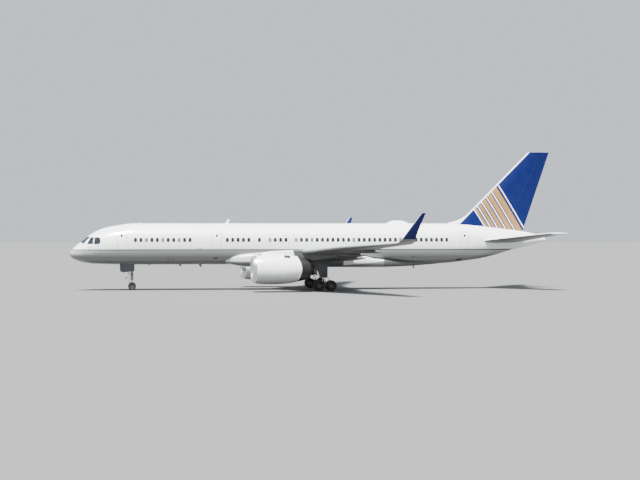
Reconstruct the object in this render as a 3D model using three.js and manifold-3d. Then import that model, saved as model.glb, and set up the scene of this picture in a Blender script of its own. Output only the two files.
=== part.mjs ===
// Twin-engine narrow-body airliner with blended winglets, parked on its landing gear, at half its real size.
// X points aft, Y to starboard and Z up. The origin is on the ground, under the middle of the aircraft's box.
import * as THREE from 'three';
import { mergeVertices } from 'three/addons/utils/BufferGeometryUtils.js';
import Module from 'manifold-3d';

const wasm = await Module();
wasm.setup();

// Driving dimensions, given as the real aircraft's, in metres
const SCALE = 0.5;
const METRE = 1000 * SCALE; // one real metre, in model millimetres
const LENGTH = 47.32;
const AXLE_STATION_NOSE = 5.94;
const GEAR_STATION_MAIN = 24.23;
const GEAR_HALF_TRACK = 3.66;
const ENGINE_SPAN = 6.5;
const ENGINE_HEIGHT = 2.15;

// Clearances, in model millimetres
const JOIN_GAP = 0.3;
const MOVING_GAP = 6;

const SIDES = { left: -1, right: 1 };

const FINISH = {
  white: [0xe9ebed, 0.3, 0],
  grey: [0x9ca1a6, 0.4, 0.1],
  blue: [0x173c78, 0.3, 0],
  metal: [0xb9bcc0, 0.25, 0.9],
  nozzle: [0x6d6a66, 0.4, 0.9],
  titanium: [0x4c4f55, 0.35, 0.8],
  gear: [0xd5d7d8, 0.4, 0.2],
  rubber: [0x17181a, 0.8, 0],
};

const group = new THREE.Group();

function place(name, shape, finish) {
  const [color, roughness, metalness] = FINISH[finish];
  const material = new THREE.MeshStandardMaterial({ color, roughness, metalness });
  const mesh = new THREE.Mesh(shape.isBufferGeometry ? shape : geometryOf(shape), material);
  mesh.name = name;
  group.add(mesh);
  return mesh;
}

// A point of the aircraft: metres aft of the nose, to starboard, above the ground
function at(x, y, z) {
  return new THREE.Vector3((x - LENGTH / 2) * METRE, y * METRE, z * METRE);
}

// Closed surface through rings of points; a ring of one point is a tip
function loft(rings) {
  const points = [];
  const faces = [];
  const starts = rings.map((ring) => {
    points.push(...ring);
    return points.length - ring.length;
  });
  for (let r = 0; r + 1 < rings.length; r++) {
    const [a, b] = [rings[r], rings[r + 1]];
    const sides = Math.max(a.length, b.length);
    for (let i = 0; i < sides; i++) {
      const j = (i + 1) % sides;
      const [a0, a1] = a.length > 1 ? [starts[r] + i, starts[r] + j] : [starts[r], starts[r]];
      const [b0, b1] = b.length > 1 ? [starts[r + 1] + i, starts[r + 1] + j] : [starts[r + 1], starts[r + 1]];
      if (b0 !== b1) faces.push([a0, b0, b1]);
      if (a0 !== a1) faces.push([a0, b1, a1]);
    }
  }
  for (const [end, flip] of [[0, true], [rings.length - 1, false]]) {
    const ring = rings[end];
    if (ring.length === 1) continue;
    const centre = new THREE.Vector3();
    for (const point of ring) centre.addScaledVector(point, 1 / ring.length);
    points.push(centre);
    ring.forEach((_, i) => {
      const [p, q] = [starts[end] + i, starts[end] + (i + 1) % ring.length];
      faces.push(flip ? [points.length - 1, p, q] : [points.length - 1, q, p]);
    });
  }
  const geometry = new THREE.BufferGeometry().setFromPoints(points);
  geometry.setIndex(faces.flat());
  return geometry;
}

// Closed geometry to a solid, its faces turned outwards
function solid(geometry, matrix) {
  const copy = geometry.clone();
  copy.deleteAttribute('normal');
  copy.deleteAttribute('uv');
  if (matrix) copy.applyMatrix4(matrix);
  const merged = mergeVertices(copy, 1e-3);
  const position = merged.attributes.position;
  const corner = [0, 1, 2].map(() => new THREE.Vector3());
  const faces = [];
  let volume = 0;
  for (let i = 0; i < merged.index.count; i += 3) {
    const face = [0, 1, 2].map((k) => merged.index.getX(i + k));
    if (new Set(face).size < 3) continue;
    face.forEach((v, k) => corner[k].fromBufferAttribute(position, v));
    volume += corner[0].dot(corner[1].clone().cross(corner[2]));
    faces.push(face);
  }
  const triVerts = new Uint32Array((volume < 0 ? faces.map((f) => [f[0], f[2], f[1]]) : faces).flat());
  return new wasm.Manifold(new wasm.Mesh({ numProp: 3, vertProperties: new Float32Array(position.array), triVerts }));
}

function geometryOf(shape) {
  const mesh = shape.getMesh();
  const geometry = new THREE.BufferGeometry();
  geometry.setAttribute('position', new THREE.BufferAttribute(new Float32Array(mesh.vertProperties), 3));
  geometry.setIndex([...mesh.triVerts]);
  return geometry;
}

function loftSolid(rings) {
  return solid(loft(rings));
}

function moved(x, y, z, turn = new THREE.Euler()) {
  return new THREE.Matrix4().compose(at(x, y, z), new THREE.Quaternion().setFromEuler(turn), new THREE.Vector3(1, 1, 1));
}

// Box by its lowest and highest corner, in metres
function block(low, high) {
  const [a, b] = [at(...low), at(...high)];
  const size = b.clone().sub(a);
  const middle = a.add(b).multiplyScalar(0.5);
  return solid(new THREE.BoxGeometry(size.x, size.y, size.z), new THREE.Matrix4().setPosition(middle));
}

// Round bar between two points in metres, with its own radius at each end
function bar(from, to, radius, endRadius = radius, sides = 10) {
  const [a, b] = [at(...from), at(...to)];
  const length = a.distanceTo(b);
  const cylinder = new THREE.CylinderGeometry(endRadius * METRE, radius * METRE, length, sides);
  const turn = new THREE.Quaternion().setFromUnitVectors(new THREE.Vector3(0, 1, 0), b.clone().sub(a).normalize());
  const middle = a.add(b).multiplyScalar(0.5);
  return solid(cylinder, new THREE.Matrix4().compose(middle, turn, new THREE.Vector3(1, 1, 1)));
}

// Hole for a round bar, clear of it by the join gap
const BORE_SIDES = 12;
function bore(from, to, radius) {
  const across = radius / Math.cos(Math.PI / BORE_SIDES) + JOIN_GAP / METRE;
  return bar(from, to, across, across, BORE_SIDES);
}

// Value of each column of a table at x, its first column
function tableAt(table, x) {
  let i = 0;
  while (i < table.length - 2 && x > table[i + 1][0]) i++;
  const [low, high] = [table[i], table[i + 1]];
  const part = THREE.MathUtils.clamp((x - low[0]) / (high[0] - low[0]), 0, 1);
  return low.map((value, k) => value + part * (high[k] - value));
}

// Body: stations of the skin, each two lobes high
const LOBE_STEPS = 12;
const LOBE_SPREAD = 0.0625; // height of the flat between the lobes over the body's height
const BODY = [
  // station, bottom, top, half width
  [0.03, 3.38, 3.72, 0.22],
  [0.25, 3.09, 3.94, 0.56],
  [0.60, 2.91, 4.27, 0.87],
  [1.05, 2.745, 4.66, 1.13],
  [1.60, 2.63, 5.09, 1.34],
  [2.11, 2.56, 5.45, 1.50],
  [2.72, 2.53, 5.79, 1.63],
  [3.60, 2.50, 6.08, 1.76],
  [4.54, 2.48, 6.25, 1.83],
  [6.13, 2.45, 6.45, 1.88],
  [33.5, 2.45, 6.46, 1.88],
  [36.0, 2.47, 6.46, 1.80],
  [38.0, 2.65, 6.40, 1.62],
  [40.08, 2.94, 6.24, 1.35],
  [41.81, 3.34, 6.04, 1.06],
  [43.50, 3.87, 5.83, 0.78],
  [45.19, 4.23, 5.58, 0.50],
  [46.30, 4.52, 5.28, 0.30],
  [46.96, 4.72, 4.96, 0.13],
];
const NOSE_TIP = [0, 0, 3.56];
const RADOME_END = 1.05;
const SECTION_JOINT = 16.0;
const TAIL_JOINT = 39.0;

function bodyRing(x, grow = 0) {
  const [, bottom, top, half] = tableAt(BODY, x);
  const middle = (top + bottom) / 2;
  const spread = LOBE_SPREAD * (top - bottom) / 2;
  const rise = (top - bottom) / 2 - spread + grow;
  const ring = [];
  for (const side of [1, -1]) {
    for (let i = 0; i <= LOBE_STEPS; i++) {
      const angle = Math.PI * i / LOBE_STEPS;
      const y = side * (half + grow) * Math.cos(angle);
      ring.push(at(x, y, middle + side * (spread + rise * Math.sin(angle))));
    }
  }
  return ring;
}

function bodyPiece(from, to, grow = 0) {
  const all = [...BODY.map((row) => row[0]), SECTION_JOINT, TAIL_JOINT].sort((a, b) => a - b);
  const stations = all.filter((x) => x > from + 0.01 && x < to - 0.01);
  const rings = [from, ...stations, to].map((x) => bodyRing(x, grow));
  if (from <= BODY[0][0]) rings.unshift([at(...NOSE_TIP)]);
  return loftSolid(rings);
}

const JOINT = JOIN_GAP / METRE; // the join gap, in metres
const BODY_START = BODY[0][0];
const BODY_END = BODY[BODY.length - 1][0];
const bodySkin = bodyPiece(BODY_START, BODY_END, JOINT);

// Wing-body fairing under the centre section
const FAIRING_STEPS = 7;
const FAIRING_POWER = 0.62; // below 1 squares the section's corners
const FAIRING = [
  // station, bottom, top, half width
  [14.9, 2.62, 3.30, 1.20],
  [16.2, 2.32, 3.60, 1.90],
  [18.0, 2.20, 3.78, 2.08],
  [22.0, 2.19, 3.84, 2.14],
  [26.0, 2.17, 3.72, 2.16],
  [28.2, 2.14, 3.44, 2.10],
  [29.4, 2.14, 3.10, 1.95],
  [30.4, 2.15, 2.80, 1.72],
  [31.2, 2.17, 2.58, 1.45],
  [33.0, 2.25, 2.56, 1.12],
  [35.8, 2.46, 2.66, 0.70],
];

function fairingRing(x, grow = 0) {
  const [, bottom, top, half] = tableAt(FAIRING, x);
  const ring = [];
  const sides = 4 * FAIRING_STEPS;
  for (let i = 0; i < sides; i++) {
    const angle = 2 * Math.PI * (i + 0.5) / sides;
    const square = (value) => Math.sign(value) * Math.abs(value) ** FAIRING_POWER;
    const y = (half + grow) * square(Math.cos(angle));
    ring.push(at(x, y, (top + bottom) / 2 + ((top - bottom) / 2 + grow) * square(Math.sin(angle))));
  }
  return ring;
}

const fairing = loftSolid(FAIRING.map(([x]) => fairingRing(x)));
const fairingSkin = loftSolid(FAIRING.map(([x]) => fairingRing(x, JOINT)));
place('wing_body_fairing', fairing.subtract(bodySkin), 'grey');

// Doors: rounded openings in the skin, seen from the side
const DOOR_SEAM = 1.5; // model millimetres round a door that stays shut
const DOOR_DEPTH = 0.08; // at the top edge, where the skin leans in most
const PASSENGER_DOORS = [
  // number, front edge, rear edge, sill, top
  [1, 4.55, 5.38, 3.85, 5.66],
  [2, 13.60, 14.44, 3.85, 5.66],
  [4, 37.98, 38.76, 3.85, 5.62],
];
const DOOR_CORNER = 0.16;

function roundedPrism([x0, x1, z0, z1], corner, y0, y1, grow = 0) {
  const [low, high] = [at(x0, 0, z0), at(x1, 0, z1)];
  const radius = corner * METRE + grow;
  const shape = new THREE.Shape();
  const [left, right, bottom, top] = [low.x - grow, high.x + grow, low.z - grow, high.z + grow];
  shape.absarc(right - radius, top - radius, radius, 0, Math.PI / 2);
  shape.absarc(left + radius, top - radius, radius, Math.PI / 2, Math.PI);
  shape.absarc(left + radius, bottom + radius, radius, Math.PI, 1.5 * Math.PI);
  shape.absarc(right - radius, bottom + radius, radius, 1.5 * Math.PI, 2 * Math.PI);
  const depth = Math.abs(y1 - y0) * METRE;
  const prism = new THREE.ExtrudeGeometry(shape, { depth, bevelEnabled: false, curveSegments: 4 });
  const turn = new THREE.Matrix4().makeRotationX(Math.PI / 2);
  return solid(prism, turn.setPosition(0, Math.max(y0, y1) * METRE, 0));
}

// Half width of the skin at a height
function skinAt(x, z) {
  const [, bottom, top, half] = tableAt(BODY, x);
  const middle = (top + bottom) / 2;
  const spread = LOBE_SPREAD * (top - bottom) / 2;
  const rise = (top - bottom) / 2 - spread;
  const above = Math.max(0, Math.abs(z - middle) - spread) / rise;
  return half * Math.sqrt(Math.max(0, 1 - above ** 2));
}

const pieces = {
  radome: bodyPiece(BODY_START, RADOME_END - JOINT),
  fuselage_forward: bodyPiece(RADOME_END, SECTION_JOINT - JOINT),
  fuselage_aft: bodyPiece(SECTION_JOINT, TAIL_JOINT - JOINT),
  tail_cone: bodyPiece(TAIL_JOINT, BODY_END),
};

for (const [number, front, rear, sill, top] of PASSENGER_DOORS) {
  const owner = front < SECTION_JOINT ? 'fuselage_forward' : 'fuselage_aft';
  for (const [side, sign] of Object.entries(SIDES)) {
    const outline = [front, rear, sill, top];
    const inner = sign * (Math.min(skinAt(front, top), skinAt(rear, top)) - DOOR_DEPTH);
    const door = roundedPrism(outline, DOOR_CORNER, inner, sign * 2.2).intersect(pieces[owner]);
    const recess = roundedPrism(outline, DOOR_CORNER, inner - sign * JOINT, sign * 2.2, DOOR_SEAM);
    pieces[owner] = pieces[owner].subtract(recess);
    place(`passenger_door_${number}_${side}`, door, 'white');
  }
}

// Cargo doors on the starboard side, hinged along their top edge, with the lined hold behind each
const CARGO_SKIN = 0.07;
const CARGO_CORNER = 0.08;
const HOLD_WALL = -0.5; // the hold's far wall, across the body's middle
const KNUCKLE_RADIUS = 0.012;
const CARGO_DOORS = [
  // place, front edge, rear edge, sill, hinge height, owner
  ['forward', 8.72, 10.12, 2.83, 3.82, 'fuselage_forward'],
  ['aft', 31.40, 32.72, 2.83, 3.82, 'fuselage_aft'],
];

for (const [place_, front, rear, sill, hinge, owner] of CARGO_DOORS) {
  const gap = MOVING_GAP / METRE;
  const skin = skinAt(front, hinge);
  const inner = loftSolid([front - 0.3, rear + 0.3].map((x) => bodyRing(x, -CARGO_SKIN)));
  const outline = [front, rear, sill, hinge - gap / 2];
  const shell = roundedPrism(outline, CARGO_CORNER, 0.6, 2.2).intersect(pieces[owner]).subtract(inner);
  const opening = [front - gap, rear + gap, sill - gap, hinge + gap / 2];
  const hold = roundedPrism(opening, CARGO_CORNER, HOLD_WALL, 2.2);
  // Piano hinge in five knuckles, in a groove along the skin: the body keeps three and the door two
  const grooveRadius = KNUCKLE_RADIUS + 4 * JOINT;
  const groove = bar([front - gap, skin, hinge], [rear + gap, skin, hinge], grooveRadius, grooveRadius, 8);
  pieces[owner] = pieces[owner].subtract(hold).subtract(groove);
  const step = (rear - front) / 5;
  let door = shell.subtract(groove);
  for (let i = 0; i < 5; i++) {
    const start = front + i * step + JOINT / 2;
    const knuckle = bar([start, skin, hinge], [start + step - JOINT, skin, hinge], KNUCKLE_RADIUS, KNUCKLE_RADIUS, 8);
    const leaf = i % 2 ? [hinge - 0.05, hinge] : [hinge, hinge + 0.05];
    const strap = block([start, skin - 0.03, leaf[0]], [start + step - JOINT, skin - 0.002, leaf[1]]);
    const part = knuckle.add(strap);
    if (i % 2) door = door.add(part);
    else pieces[owner] = pieces[owner].add(part);
  }
  place(`cargo_door_${place_}`, door, 'white');
}

// Nose gear well, open behind the two doors that stay down
const NOSE_WELL = { front: 4.72, rear: 6.22, half: 0.42, ceiling: 3.05 };
pieces.fuselage_forward = pieces.fuselage_forward.subtract(
  block([NOSE_WELL.front, -NOSE_WELL.half, 2.2], [NOSE_WELL.rear, NOSE_WELL.half, NOSE_WELL.ceiling]));

// Jacking pads: one under the nose section and one under each wing, flat below
const PAD_RADIUS = 0.12;
const PAD_DROP = 0.05;
const NOSE_PAD_STATION = 7.6;
const noseKeel = tableAt(BODY, NOSE_PAD_STATION)[1];
pieces.fuselage_forward = pieces.fuselage_forward.add(
  bar([NOSE_PAD_STATION, 0, noseKeel + 0.2], [NOSE_PAD_STATION, 0, noseKeel - PAD_DROP], PAD_RADIUS));

// Blade antenna on the crown, and the low dome behind the wing
const BLADE = [[14.88, 6.40], [15.18, 6.86], [15.36, 6.86], [15.26, 6.40]];

function plate(outline, thickness, y = 0) {
  const shape = new THREE.Shape(outline.map(([x, z]) => {
    const point = at(x, 0, z);
    return new THREE.Vector2(point.x, point.z);
  }));
  const depth = thickness * METRE;
  const prism = new THREE.ExtrudeGeometry(shape, { depth, bevelEnabled: false });
  const turn = new THREE.Matrix4().makeRotationX(Math.PI / 2);
  return solid(prism, turn.setPosition(0, (y + thickness / 2) * METRE, 0));
}

pieces.fuselage_forward = pieces.fuselage_forward.add(plate(BLADE, 0.03));
const DOME = [
  // station, top, half width
  [30.75, 6.44, 0.10],
  [31.10, 6.62, 0.28],
  [31.60, 6.74, 0.42],
  [32.20, 6.74, 0.42],
  [32.75, 6.62, 0.28],
  [33.05, 6.44, 0.10],
];
const DOME_BASE = 6.3;
const DOME_STEPS = 10;
const dome = loftSolid(DOME.map(([x, top, half]) => {
  const ring = [];
  for (let i = 0; i < DOME_STEPS; i++) {
    const angle = 2 * Math.PI * i / DOME_STEPS;
    ring.push(at(x, half * Math.cos(angle), DOME_BASE + (top - DOME_BASE) * Math.sin(angle)));
  }
  return ring;
}));
pieces.fuselage_aft = pieces.fuselage_aft.add(dome);

for (const [name, piece] of Object.entries(pieces)) place(name, piece, 'white');

// Aerofoil section from a leading edge point; normal is the direction of its thickness
const FOIL_STEPS = 8;
const EDGE_THICKNESS = 0.0025; // half of the blunt trailing edge over the chord

function foilRing(lead, chord, thickness, normal, twist = 0, camber = 0) {
  const angle = THREE.MathUtils.degToRad(twist);
  const aft = new THREE.Vector3(1, 0, 0);
  const along = aft.clone().multiplyScalar(Math.cos(angle)).addScaledVector(normal, -Math.sin(angle));
  const up = aft.multiplyScalar(Math.sin(angle)).addScaledVector(normal, Math.cos(angle));
  const ring = [];
  for (let i = -FOIL_STEPS; i <= FOIL_STEPS; i++) {
    const x = (1 - Math.cos(Math.PI * i / FOIL_STEPS)) / 2;
    const half = 5 * thickness * (0.2969 * Math.sqrt(x) - 0.126 * x - 0.3516 * x ** 2 + 0.2843 * x ** 3 - 0.1036 * x ** 4);
    const z = camber * 4 * x * (1 - x) - Math.sign(i) * (half + EDGE_THICKNESS * x);
    ring.push(at(...lead).addScaledVector(along, chord * x * METRE).addScaledVector(up, chord * z * METRE));
  }
  return ring;
}

// What a hinged surface takes from a fixed one: all behind the hinge line, with a round nose on that line
const NOSE_STEPS = 7;
const CUTTER_HALF_HEIGHT = 0.6;

function hingeCutter(from, to, startRadius, endRadius, depth, grow) {
  const [a, b] = [at(...from), at(...to)];
  const along = b.clone().sub(a).normalize();
  const aft = new THREE.Vector3(1, 0, 0).addScaledVector(along, -along.x).normalize();
  const normal = along.clone().cross(aft);
  const rings = [[a, startRadius, -grow], [b, endRadius, grow]].map(([centre, radius, shift]) => {
    const middle = centre.clone().addScaledVector(along, shift);
    const across = radius * METRE + grow;
    const tall = CUTTER_HALF_HEIGHT * METRE;
    const outline = [];
    for (let i = 0; i <= NOSE_STEPS; i++) {
      const angle = Math.PI * (0.5 + i / NOSE_STEPS);
      outline.push([across * Math.cos(angle), across * Math.sin(angle)]);
    }
    outline.push([0, -tall], [depth * METRE, -tall], [depth * METRE, tall], [0, tall]);
    return outline.map(([back, up]) => middle.clone().addScaledVector(aft, back).addScaledVector(normal, up));
  });
  return loftSolid(rings);
}

const PIN_RADIUS = 0.02;

// Splits a hinged surface off: the fixed rest, and the moving part with a pin at each end
function splitHinged(surface, from, to, startRadius, endRadius, depth) {
  const moving = surface.intersect(hingeCutter(from, to, startRadius, endRadius, depth, 0));
  const fixed = surface.subtract(hingeCutter(from, to, startRadius, endRadius, depth, MOVING_GAP));
  const reach = (MOVING_GAP - JOIN_GAP) / METRE;
  const [a, b] = [new THREE.Vector3(...from), new THREE.Vector3(...to)];
  const along = b.clone().sub(a).normalize();
  const inside = 0.1;
  let part = moving;
  for (const [end, way] of [[a, -1], [b, 1]]) {
    const start = end.clone().addScaledVector(along, -way * inside);
    const tip = end.clone().addScaledVector(along, way * reach);
    part = part.add(bar(start.toArray(), tip.toArray(), PIN_RADIUS, PIN_RADIUS, 8));
  }
  return [fixed, part];
}

// Wings
const WING = [
  // span, leading edge, chord, height of the leading edge, thickness, twist
  [1.10, 18.64, 8.90, 3.20, 0.130, 3.2],
  [1.88, 19.07, 8.20, 3.28, 0.128, 3.2],
  [6.90, 21.78, 5.30, 3.77, 0.115, 1.9],
  [12.0, 24.53, 3.80, 4.20, 0.110, 1.0],
  [18.1, 27.824, 2.00, 4.56, 0.105, 0.3],
  [19.02, 28.32, 1.73, 4.62, 0.105, -6],
];
const WING_CAMBER = 0.012;
const WINGLET = [
  // span, leading edge, chord, height, thickness, cant in degrees from level, twist
  [19.02, 28.32, 1.73, 4.62, 0.105, 5, -6],
  [19.55, 28.48, 1.42, 4.74, 0.10, 28, -6],
  [19.85, 28.70, 1.17, 5.00, 0.09, 55, 0.2],
  [20.02, 28.98, 0.98, 5.45, 0.085, 70, 0.2],
  [20.55, 30.24, 0.36, 7.22, 0.08, 76, 0.2],
];
const AILERON = { from: 14.55, to: 18.1, chordwise: 0.76, low: -20, high: 20 };
const FLAP_FAIRINGS = [
  // span, front, rear, half width, depth under the wing, droop of the rear tip
  [4.90, 24.4, 28.10, 0.20, 0.34, 0.10],
  [7.00, 24.5, 27.93, 0.19, 0.32, 0.08],
  [10.4, 25.1, 28.77, 0.18, 0.29, 0.21],
];

const WING_PAD = { span: 5.0, share: 0.45, bottom: 2.95 };

function wingAt(span) {
  const [, lead, chord, z, thickness, twist] = tableAt(WING, span);
  return { lead, chord, z, thickness, twist };
}

// A point on the wing's middle surface, at a share of the chord, on the straight line between two sections
function wingMiddle(span, share, sign) {
  const points = WING.map(([y, lead, chord, z, , twist]) => {
    const angle = THREE.MathUtils.degToRad(twist);
    const rise = chord * WING_CAMBER * 4 * share * (1 - share);
    return [y, lead + chord * share * Math.cos(angle), z - chord * share * Math.sin(angle) + rise];
  });
  const [, x, z] = tableAt(points, span);
  return [x, sign * span, z];
}

function flapFairing([span, front, rear, half, depth, droop], sign) {
  const stations = [
    // share of the length, share of the half width, share of the depth
    [0, 0.25, 0.15],
    [0.18, 0.75, 0.65],
    [0.45, 1, 1],
    [0.75, 0.85, 0.85],
    [1, 0.12, 0.12],
  ];
  const { lead, chord } = wingAt(span);
  return loftSolid(stations.map(([along, wide, deep]) => {
    const x = front + along * (rear - front);
    const share = (x - lead) / chord;
    const [, , middle] = wingMiddle(span, Math.min(share, 1), sign);
    const drop = 0.02 + 0.07 * (1 - Math.min(share, 1)) * chord * 0.9;
    const tipDroop = along === 1 ? droop : 0;
    const ring = [];
    for (let i = 0; i < 10; i++) {
      const angle = 2 * Math.PI * i / 10;
      const z = middle - tipDroop - drop * 0.6 - depth * deep * 0.55 + depth * deep * 0.62 * Math.sin(angle);
      ring.push(at(x, sign * span + half * wide * Math.cos(angle), z));
    }
    return ring;
  }));
}

const UP = new THREE.Vector3(0, 0, 1);
const wingSolids = {};
for (const [side, sign] of Object.entries(SIDES)) {
  const rings = WING.map(([span, lead, chord, z, thickness, twist]) =>
    foilRing([lead, sign * span, z], chord, thickness, UP, twist, WING_CAMBER));
  let wing = loftSolid(rings);
  const hingeFrom = wingMiddle(AILERON.from, AILERON.chordwise, sign);
  const hingeTo = wingMiddle(AILERON.to, AILERON.chordwise, sign);
  const radius = (span) => wingAt(span).chord * wingAt(span).thickness * 0.31;
  const [fixed, aileron] = splitHinged(wing, hingeFrom, hingeTo, radius(AILERON.from), radius(AILERON.to), 1.2);
  wing = fixed;
  for (const row of FLAP_FAIRINGS) wing = wing.add(flapFairing(row, sign));
  const [padX, padY, padZ] = wingMiddle(WING_PAD.span, WING_PAD.share, sign);
  wing = wing.add(bar([padX, padY, padZ], [padX, padY, WING_PAD.bottom], PAD_RADIUS));
  wing = wing.subtract(bodySkin).subtract(fairingSkin);
  wingSolids[side] = wing;
  place(`wing_${side}`, wing, 'grey');
  place(`aileron_${side}`, aileron, 'grey');
  const winglet = WINGLET.map(([span, lead, chord, z, thickness, cant, twist], i) => {
    const angle = THREE.MathUtils.degToRad(cant);
    const normal = i ? new THREE.Vector3(0, -sign * Math.sin(angle), Math.cos(angle)) : UP;
    const shift = i ? 0 : JOINT;
    return foilRing([lead, sign * (span + shift), z], chord, thickness, normal, twist, i ? 0 : WING_CAMBER);
  });
  place(`winglet_${side}`, loftSolid(winglet), 'blue');
}

// Fin with its dorsal fillet, and the rudder
const FIN_TOP = 13.56;
const FIN_LEAD = (z) => 45.18 - (FIN_TOP - z);
const FIN_TRAIL = (z) => 47.32 - 0.345 * (FIN_TOP - z);
const FIN = [
  // height, leading edge, thickness
  [5.60, 36.0, 0.060],
  [6.40, 36.75, 0.062],
  [6.64, 37.62, 0.066],
  [6.95, 38.42, 0.072],
  [7.25, 38.86, 0.078],
  [7.75, 39.37, 0.086],
  [FIN_TOP, FIN_LEAD(FIN_TOP), 0.095],
];
const RUDDER = { from: 6.05, to: 12.95, chordwise: 0.68, low: -26, high: 26 };
const SIDEWAYS = new THREE.Vector3(0, 1, 0);

function finAt(z) {
  const [, lead, thickness] = tableAt(FIN, z);
  return { lead, chord: FIN_TRAIL(z) - lead, thickness };
}

// The hinge line follows a share of the main chord, without the fillet
function finHinge(z) {
  const lead = FIN_LEAD(z);
  return [lead + RUDDER.chordwise * (FIN_TRAIL(z) - lead), 0, z];
}

const finRings = FIN.map(([z, lead, thickness]) =>
  foilRing([lead, 0, z], FIN_TRAIL(z) - lead, thickness, SIDEWAYS));
const TAIL_CLEARANCE = 0.056; // between the tail cone and what moves past it
const tailClear = bodyPiece(TAIL_JOINT - 1, BODY_END, TAIL_CLEARANCE);
const finRadius = (z) => finAt(z).chord * finAt(z).thickness * 0.41;
const [finFixed, rudder] = splitHinged(loftSolid(finRings), finHinge(RUDDER.from), finHinge(RUDDER.to),
  finRadius(RUDDER.from), finRadius(RUDDER.to), 3.2);
place('fin', finFixed.subtract(bodySkin), 'blue');
place('rudder', rudder.subtract(tailClear), 'blue');

// Tailplanes and elevators
const TAILPLANE = [
  // span, leading edge, chord, height, thickness
  [0.35, 39.67, 4.72, 4.66, 0.105],
  [1.30, 40.40, 4.30, 4.77, 0.10],
  [7.60, 45.25, 1.85, 5.50, 0.09],
];
const ELEVATOR = { from: 1.62, to: 7.15, chordwise: 0.70, low: -24, high: 18 };

function tailplaneMiddle(span, sign) {
  const [, lead, chord, z] = tableAt(TAILPLANE, span);
  return [lead + ELEVATOR.chordwise * chord, sign * span, z];
}

for (const [side, sign] of Object.entries(SIDES)) {
  const rings = TAILPLANE.map(([span, lead, chord, z, thickness]) =>
    foilRing([lead, sign * span, z], chord, thickness, UP));
  const radius = (span) => {
    const [, , chord, , thickness] = tableAt(TAILPLANE, span);
    return chord * thickness * 0.34;
  };
  const [fixed, elevator] = splitHinged(loftSolid(rings), tailplaneMiddle(ELEVATOR.from, sign),
    tailplaneMiddle(ELEVATOR.to, sign), radius(ELEVATOR.from), radius(ELEVATOR.to), 1.9);
  place(`tailplane_${side}`, fixed.subtract(bodySkin), 'white');
  place(`elevator_${side}`, elevator.subtract(tailClear), 'white');
}

// Engines: profiles are distance aft of the lip and radius
const ENGINE_LIP = 16.95;
const ENGINE_SIDES = 24;
const LIP_PROFILE = [
  [0.45, 1.335], [0.22, 1.275], [0.06, 1.205], [0.0, 1.13], [0.04, 1.07], [0.2, 1.01], [0.45, 0.975],
];
const COWL_PROFILE = [
  [0.45, 1.335], [0.9, 1.395], [1.7, 1.42], [2.6, 1.405], [3.5, 1.33], [4.3, 1.19],
  [4.3, 1.1], [3.3, 1.12], [1.35, 0.965], [0.45, 0.975],
];
const NOZZLE_PROFILE = [
  [4.3, 1.17], [4.9, 1.04], [5.5, 0.88], [5.5, 0.855], [4.9, 0.96], [4.3, 1.06],
];
const CORE_PROFILE = [
  [1.42, 0], [1.42, 0.34], [1.9, 0.52], [3.4, 0.56], [4.4, 0.44], [5.75, 0.08], [5.75, 0],
];
const FAN_HUB_PROFILE = [
  [0.7, 0], [0.76, 0.1], [0.9, 0.2], [1.08, 0.29], [1.32, 0.33], [1.36, 0.16], [1.42 - JOINT, 0.16], [1.42 - JOINT, 0],
];
const FAN = { blades: 22, front: 1.05, rear: 1.3, root: 0.3, tip: 0.912, stagger: 26, twist: 34, thick: 0.018 };
const VANES = { count: 8, front: 2.0, rear: 2.5, outer: 1.09, thick: 0.04 };

// Ring or shaft turned about the engine's own axis
function turned(profile, sides = ENGINE_SIDES) {
  const closed = profile[0][1] === 0 ? profile : [...profile, profile[0]];
  const points = closed.map(([x, r]) => new THREE.Vector2(r * METRE, x * METRE));
  return new THREE.LatheGeometry(points, sides);
}

// The lathe's axis is Y: this lays it along X at an engine
function engineFrame(sign, x = ENGINE_LIP) {
  return moved(x, sign * ENGINE_SPAN, ENGINE_HEIGHT, new THREE.Euler(0, 0, -Math.PI / 2));
}

// One fan blade or vane about the engine axis, as a loft of flat sections from root to tip
function blade(front, rear, root, tip, thick, rootTurn, tipTurn, angle) {
  const middle = (front + rear) / 2;
  const half = (rear - front) / 2;
  const rings = [[root, rootTurn], [tip, tipTurn]].map(([radius, turn]) => {
    const tilt = THREE.MathUtils.degToRad(turn);
    const chord = half / Math.cos(tilt);
    return [[-chord, 0], [0, thick / 2], [chord, 0], [0, -thick / 2]].map(([along, across]) => {
      const x = middle + along * Math.cos(tilt) - across * Math.sin(tilt);
      const side = along * Math.sin(tilt) + across * Math.cos(tilt);
      const y = radius * Math.cos(angle) - side * Math.sin(angle);
      const z = radius * Math.sin(angle) + side * Math.cos(angle);
      return new THREE.Vector3(y * METRE, x * METRE, z * METRE);
    });
  });
  return solid(loft(rings));
}

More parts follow.
